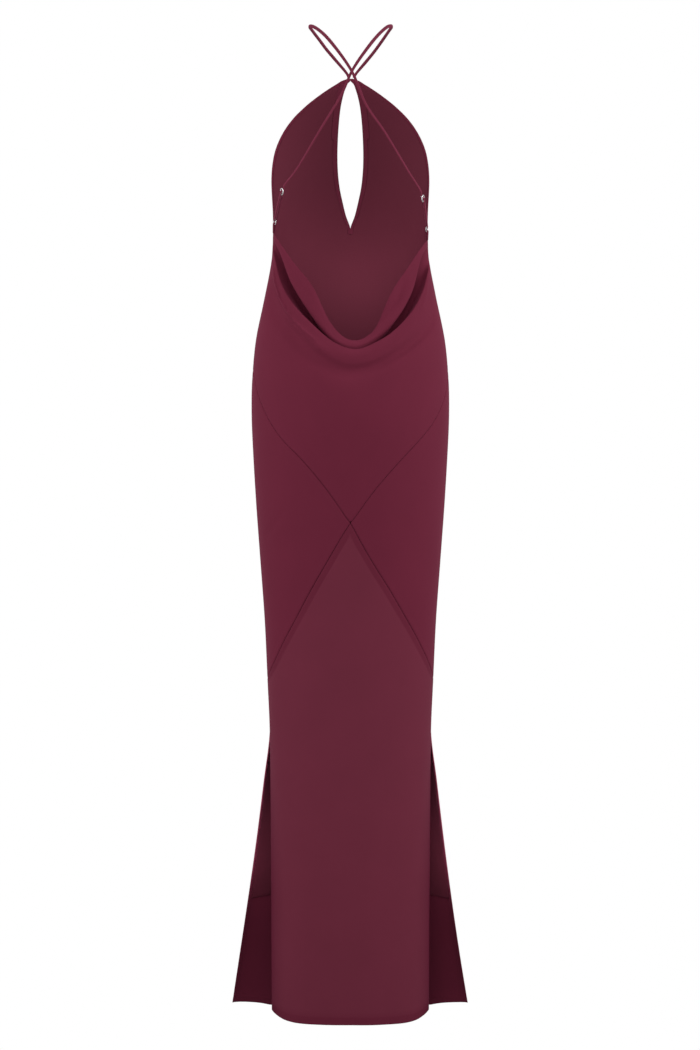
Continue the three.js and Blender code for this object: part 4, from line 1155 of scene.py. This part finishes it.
def cloth_group():
    """Crepe or lining: threads and pebbles along the cloth's own UV, in metres. Height is threads and
    pebbles together. The colour goes from plain to deep by the deepened input, is lighter where the
    cloth is high and drifts slowly over the piece."""
    group = bpy.data.node_groups.new("cloth_grain", "ShaderNodeTree")
    wanted = [("Place", "NodeSocketVector"), ("Plain", "NodeSocketColor"), ("Deep", "NodeSocketColor"),
              ("Deepened", "NodeSocketFloat"), ("Pebble size", "NodeSocketFloat"),
              ("Thread size", "NodeSocketFloat"), ("Thread share", "NodeSocketFloat"),
              ("Grain", "NodeSocketFloat"), ("Roughness", "NodeSocketFloat")]
    for name, kind in wanted:
        group.interface.new_socket(name=name, in_out="INPUT", socket_type=kind)
    for name, kind in (("Colour", "NodeSocketColor"), ("Roughness", "NodeSocketFloat"),
                       ("Height", "NodeSocketFloat")):
        group.interface.new_socket(name=name, in_out="OUTPUT", socket_type=kind)
    given = node(group, "NodeGroupInput", -1200, 0)
    result = node(group, "NodeGroupOutput", 900, 0)
    link = group.links.new

    pebble = node(group, "ShaderNodeTexNoise", -700, 300)
    pebble.inputs["Detail"].default_value = 2
    link(given.outputs["Place"], pebble.inputs["Vector"])
    link(calc(group, "DIVIDE", 1.0, given.outputs["Pebble size"], -950, 300), pebble.inputs["Scale"])

    threads = []
    for i, direction in enumerate(("X", "Y")):
        wave = node(group, "ShaderNodeTexWave", -700, -100 - 300 * i, bands_direction=direction)
        wave.inputs["Distortion"].default_value = 1.2
        wave.inputs["Detail"].default_value = 1
        wave.inputs["Detail Scale"].default_value = 0.6
        link(given.outputs["Place"], wave.inputs["Vector"])
        scale = calc(group, "DIVIDE", WAVE_LENGTH, given.outputs["Thread size"], -950, -100 - 300 * i)
        link(scale, wave.inputs["Scale"])
        threads.append(wave.outputs["Fac"])
    weave = calc(group, "MAXIMUM", threads[0], threads[1], -450, -200)

    blend = node(group, "ShaderNodeMix", -200, 100, data_type="FLOAT")
    link(given.outputs["Thread share"], blend.inputs["Factor"])
    link(pebble.outputs["Fac"], blend.inputs["A"])
    link(weave, blend.inputs["B"])
    height = blend.outputs["Result"]

    drift = node(group, "ShaderNodeTexNoise", -700, 600)
    drift.inputs["Scale"].default_value = 14
    drift.inputs["Detail"].default_value = 3
    link(given.outputs["Place"], drift.inputs["Vector"])
    slow = calc(group, "SUBTRACT", drift.outputs["Fac"], 0.5, -450, 600)
    slow = calc(group, "MULTIPLY", slow, COLOUR_DRIFT, -300, 600)
    fine = calc(group, "SUBTRACT", height, 0.5, 0, 300)
    fine = calc(group, "MULTIPLY", fine, given.outputs["Grain"], 150, 300)
    light = calc(group, "ADD", calc(group, "ADD", slow, fine, 300, 400), 1.0, 450, 400)
    dyed = node(group, "ShaderNodeMix", 450, 200, data_type="RGBA")
    link(given.outputs["Deepened"], dyed.inputs["Factor"])
    link(given.outputs["Plain"], dyed.inputs["A"])
    link(given.outputs["Deep"], dyed.inputs["B"])
    tint = node(group, "ShaderNodeVectorMath", 700, 200, operation="SCALE")
    link(dyed.outputs["Result"], tint.inputs["Vector"])
    link(light, tint.inputs["Scale"])
    link(tint.outputs["Vector"], result.inputs["Colour"])
    rough = calc(group, "MULTIPLY", fine, GRAIN_SHINE, 300, 0)
    rough = calc(group, "ADD", rough, given.outputs["Roughness"], 450, 0)
    link(rough, result.inputs["Roughness"])
    link(height, result.inputs["Height"])
    return group


CLOTH_GROUP = cloth_group()
GRAIN_HEIGHT = 0.0002
SHEEN_TINT = (0.9, 0.2, 0.38)


def cloth_material(name, plain, pebble, thread, share, grain, roughness, bump, sheen, deep=None):
    """A cloth: the cloth group on the piece's UV, a bump of its height, and a rosy sheen. pebble and thread
    are sizes in metres, and share is how much of the height is thread."""
    material = bpy.data.materials.new(name)
    material.use_nodes = True
    tree = material.node_tree
    tree.nodes.clear()
    out = node(tree, "ShaderNodeOutputMaterial", 700, 0)
    shader = node(tree, "ShaderNodeBsdfPrincipled", 400, 0)
    tree.links.new(shader.outputs[0], out.inputs["Surface"])
    place_node = node(tree, "ShaderNodeUVMap", -500, 0, uv_map="cloth")
    deepened = node(tree, "ShaderNodeAttribute", -500, -200, attribute_name="deep")
    own = node(tree, "ShaderNodeGroup", -200, 0, node_tree=CLOTH_GROUP)
    own.inputs["Plain"].default_value = (*plain, 1)
    own.inputs["Deep"].default_value = (*(deep or plain), 1)
    own.inputs["Pebble size"].default_value = pebble
    own.inputs["Thread size"].default_value = thread
    own.inputs["Thread share"].default_value = share
    own.inputs["Grain"].default_value = grain
    own.inputs["Roughness"].default_value = roughness
    tree.links.new(place_node.outputs["UV"], own.inputs["Place"])
    tree.links.new(deepened.outputs["Fac"], own.inputs["Deepened"])
    tree.links.new(own.outputs["Colour"], shader.inputs["Base Color"])
    tree.links.new(own.outputs["Roughness"], shader.inputs["Roughness"])
    raised = node(tree, "ShaderNodeBump", 100, -300)
    raised.inputs["Strength"].default_value = bump
    raised.inputs["Distance"].default_value = GRAIN_HEIGHT
    tree.links.new(own.outputs["Height"], raised.inputs["Height"])
    tree.links.new(raised.outputs["Normal"], shader.inputs["Normal"])
    shader.inputs["Specular IOR Level"].default_value = 0.07
    shader.inputs["Sheen Weight"].default_value = sheen
    shader.inputs["Sheen Roughness"].default_value = 0.45
    shader.inputs["Sheen Tint"].default_value = (*SHEEN_TINT, 1)
    return material


def linear(*levels_255):
    """Screen levels, 0 to 255, as linear colour."""
    share = np.array(levels_255) / 255
    colour = np.where(share <= 0.04045, share / 12.92, ((share + 0.055) / 1.055) ** 2.4)
    return tuple(colour.tolist())


def silver_material():
    """Polished wire: a metal whose roughness goes from 0.2 to 0.36 with fine handling marks."""
    material = bpy.data.materials.new("silver_wire")
    material.use_nodes = True
    tree = material.node_tree
    shader = tree.nodes["Principled BSDF"]
    shader.inputs["Base Color"].default_value = (0.93, 0.93, 0.94, 1)
    shader.inputs["Metallic"].default_value = 1
    where = node(tree, "ShaderNodeTexCoord", -700, 0)
    marks = node(tree, "ShaderNodeTexNoise", -500, 0)
    marks.inputs["Scale"].default_value = 900
    tree.links.new(where.outputs["Object"], marks.inputs["Vector"])
    rough = calc(tree, "ADD", calc(tree, "MULTIPLY", marks.outputs["Fac"], 0.16, -250, 0), 0.2, -100, 0)
    tree.links.new(rough, shader.inputs["Roughness"])
    return material


CREPE_GRAIN = dict(pebble=0.0006, thread=0.0004, share=0.35, grain=0.1)
crepe = cloth_material("crepe", linear(106, 36, 56), **CREPE_GRAIN, roughness=0.82, bump=0.35, sheen=0.12)
# The skirt's deep colour is its doubled cloth at the turned edges and painted shade beside its slits
skirt_shaded_cloth = cloth_material("skirt_crepe_shaded", linear(110, 43, 61), **CREPE_GRAIN, roughness=0.82, bump=0.35,
                             sheen=0.08, deep=linear(86, 12, 38))
# The straps are the dress's crepe, painted a little lighter as a painted highlight for the sheen they catch,
# with a real sheen over it
strap_lit_crepe = cloth_material("strap_lit_crepe", linear(112, 42, 62), **CREPE_GRAIN, roughness=0.8, bump=0.3,
                             sheen=0.25)
# The keyhole's facing is the crepe turned in, painted darker as painted shade for the strip in shadow
facing = cloth_material("facing_shaded_crepe", linear(99, 36, 54), pebble=0.0009, thread=0.0004, share=0.35,
                        grain=0.2, roughness=0.8, bump=0.3, sheen=0.05)
lining = cloth_material("lining_cloth", linear(95, 37, 52), pebble=0.0017, thread=0.0005, share=0.3,
                        grain=0.42, roughness=0.75, bump=0.3, sheen=0.05)
silver = silver_material()


# Pieces

front = make_piece("front", front_panel(), crepe, ["front_panel"])
lining_piece = make_piece("lining", front_lining(), lining, ["front_lining"])
keyhole = make_piece("keyhole_binding", keyhole_facing(), facing, ["keyhole_facing"])
cowl = make_piece("cowl", back_cowl(), crepe, ["back_cowl"])
for own_side in ("left", "right"):
    gore = make_piece(f"side_{own_side}", side_piece(own_side), crepe, [f"back_side_{own_side}"])
skirt = make_piece("skirt", back_skirt(), skirt_shaded_cloth, ["back_skirt"])
for own_side in ("left", "right"):
    strap_name = f"strap_{own_side}"
    make_piece(f"neck_{strap_name}", strap(strap_name, own_side), strap_lit_crepe, [strap_name])
    make_piece(f"strap_slider_{own_side}", slider(own_side), silver, [f"slider_{own_side}"])
    make_piece(f"strap_ring_{own_side}", ring(own_side), silver, [f"ring_{own_side}"])
    make_piece(f"tab_{own_side}", ring_tab(own_side), crepe, [f"ring_tab_{own_side}"])


# Studio

CAMERA_X = 0.0006
CAMERA_Y = 3.2
CAMERA_Z = -0.7968
FRAME_HEIGHT = 1.68
SENSOR = 36
AIR_LIGHT = 0.58
FLOOR_Z = -1.61
FLOOR_RADIUS = 0.8
FLOOR_SIDES = 96


def camera():
    """A camera behind the dress, level, whose frame is FRAME_HEIGHT tall at the side seams."""
    data = bpy.data.cameras.new("camera")
    data.sensor_width = SENSOR
    data.lens = SENSOR * CAMERA_Y / FRAME_HEIGHT
    made = bpy.data.objects.new("camera", data)
    made.location = (CAMERA_X, CAMERA_Y, CAMERA_Z)
    made.rotation_euler = (math.pi / 2, 0, math.pi)
    bpy.context.scene.collection.objects.link(made)
    bpy.context.scene.camera = made


def lamp(name, where, aim, size, power):
    """A soft light at a place, turned to its aim. size is its width and height."""
    data = bpy.data.lights.new(name, "AREA")
    data.shape = "RECTANGLE"
    data.size, data.size_y = size
    data.energy = power
    made = bpy.data.objects.new(name, data)
    made.visible_camera = False
    made.location = where
    direction = Vector(aim) - Vector(where)
    made.rotation_euler = direction.to_track_quat("-Z", "Y").to_euler()
    bpy.context.scene.collection.objects.link(made)


def studio_world(strength):
    """White for the camera, and a soft even light for everything else."""
    world = bpy.data.worlds.new("studio")
    bpy.context.scene.world = world
    world.use_nodes = True
    tree = world.node_tree
    tree.nodes.clear()
    out = node(tree, "ShaderNodeOutputWorld", 600, 0)
    mix = node(tree, "ShaderNodeMixShader", 400, 0)
    rays = node(tree, "ShaderNodeLightPath", 100, 200)
    soft = node(tree, "ShaderNodeBackground", 100, 0)
    soft.inputs["Color"].default_value = (1, 1, 1, 1)
    soft.inputs["Strength"].default_value = strength
    seen = node(tree, "ShaderNodeBackground", 100, -150)
    seen.inputs["Color"].default_value = (1, 1, 1, 1)
    tree.links.new(rays.outputs["Is Camera Ray"], mix.inputs[0])
    tree.links.new(soft.outputs[0], mix.inputs[1])
    tree.links.new(seen.outputs[0], mix.inputs[2])
    tree.links.new(mix.outputs[0], out.inputs["Surface"])


def floor():
    """A round pale floor under the hem, which the camera sees as white as the background."""
    angle = np.linspace(0, math.tau, FLOOR_SIDES, endpoint=False)
    around = FLOOR_RADIUS * np.stack([np.cos(angle), np.sin(angle)], axis=-1)
    corners = np.column_stack([around, np.full(FLOOR_SIDES, FLOOR_Z)])
    mesh = bpy.data.meshes.new("floor")
    mesh.from_pydata(corners.tolist(), [], [list(range(FLOOR_SIDES))])
    made = bpy.data.objects.new("floor", mesh)
    bpy.context.scene.collection.objects.link(made)
    material = bpy.data.materials.new("pale_floor")
    material.use_nodes = True
    tree = material.node_tree
    shader = tree.nodes["Principled BSDF"]
    shader.inputs["Base Color"].default_value = (0.35, 0.35, 0.35, 1)
    shader.inputs["Roughness"].default_value = 0.9
    white = node(tree, "ShaderNodeEmission", 0, -300)
    mix = node(tree, "ShaderNodeMixShader", 300, 0)
    rays = node(tree, "ShaderNodeLightPath", 0, 300)
    tree.links.new(rays.outputs["Is Camera Ray"], mix.inputs[0])
    tree.links.new(shader.outputs[0], mix.inputs[1])
    tree.links.new(white.outputs[0], mix.inputs[2])
    tree.links.new(mix.outputs[0], tree.nodes["Material Output"].inputs["Surface"])
    mesh.materials.append(material)


camera()
studio_world(AIR_LIGHT)
lamp("left_side", (2.3, 0.8, -0.5), (0, 0, -0.7), (1.3, 1.3), 4)
lamp("right_side", (-2.3, 0.8, -0.5), (0, 0, -0.7), (1.3, 1.3), 4)
lamp("left_high", (2.0, 0.35, 0.7), (0, 0, -0.5), (0.9, 0.9), 13)
lamp("right_high", (-2.0, 0.35, 0.7), (0, 0, -0.5), (0.9, 0.9), 21)
lamp("top", (0, 1.9, 1.5), (0, 0, -0.5), (1, 1), 8)
lamp("behind", (0, 3.4, -0.2), (0, 0, -0.6), (1.2, 1.2), 3)
lamp("low", (0.3, 2.4, -1.15), (0, 0, -1.0), (0.9, 0.9), 4.2)
lamp("open_back", (0, 0.03, -0.41), (0, -0.1, -0.437), (0.1, 0.2), 0.12)
lamp("left_slit", (0.146, 0.014, -1.23), (0.146, -0.1, -1.23), (0.03, 0.3), 0.07)
lamp("right_slit", (-0.146, 0.014, -1.23), (-0.146, -0.1, -1.23), (0.03, 0.3), 0.07)
floor()
bpy.context.scene.view_settings.view_transform = "Standard"
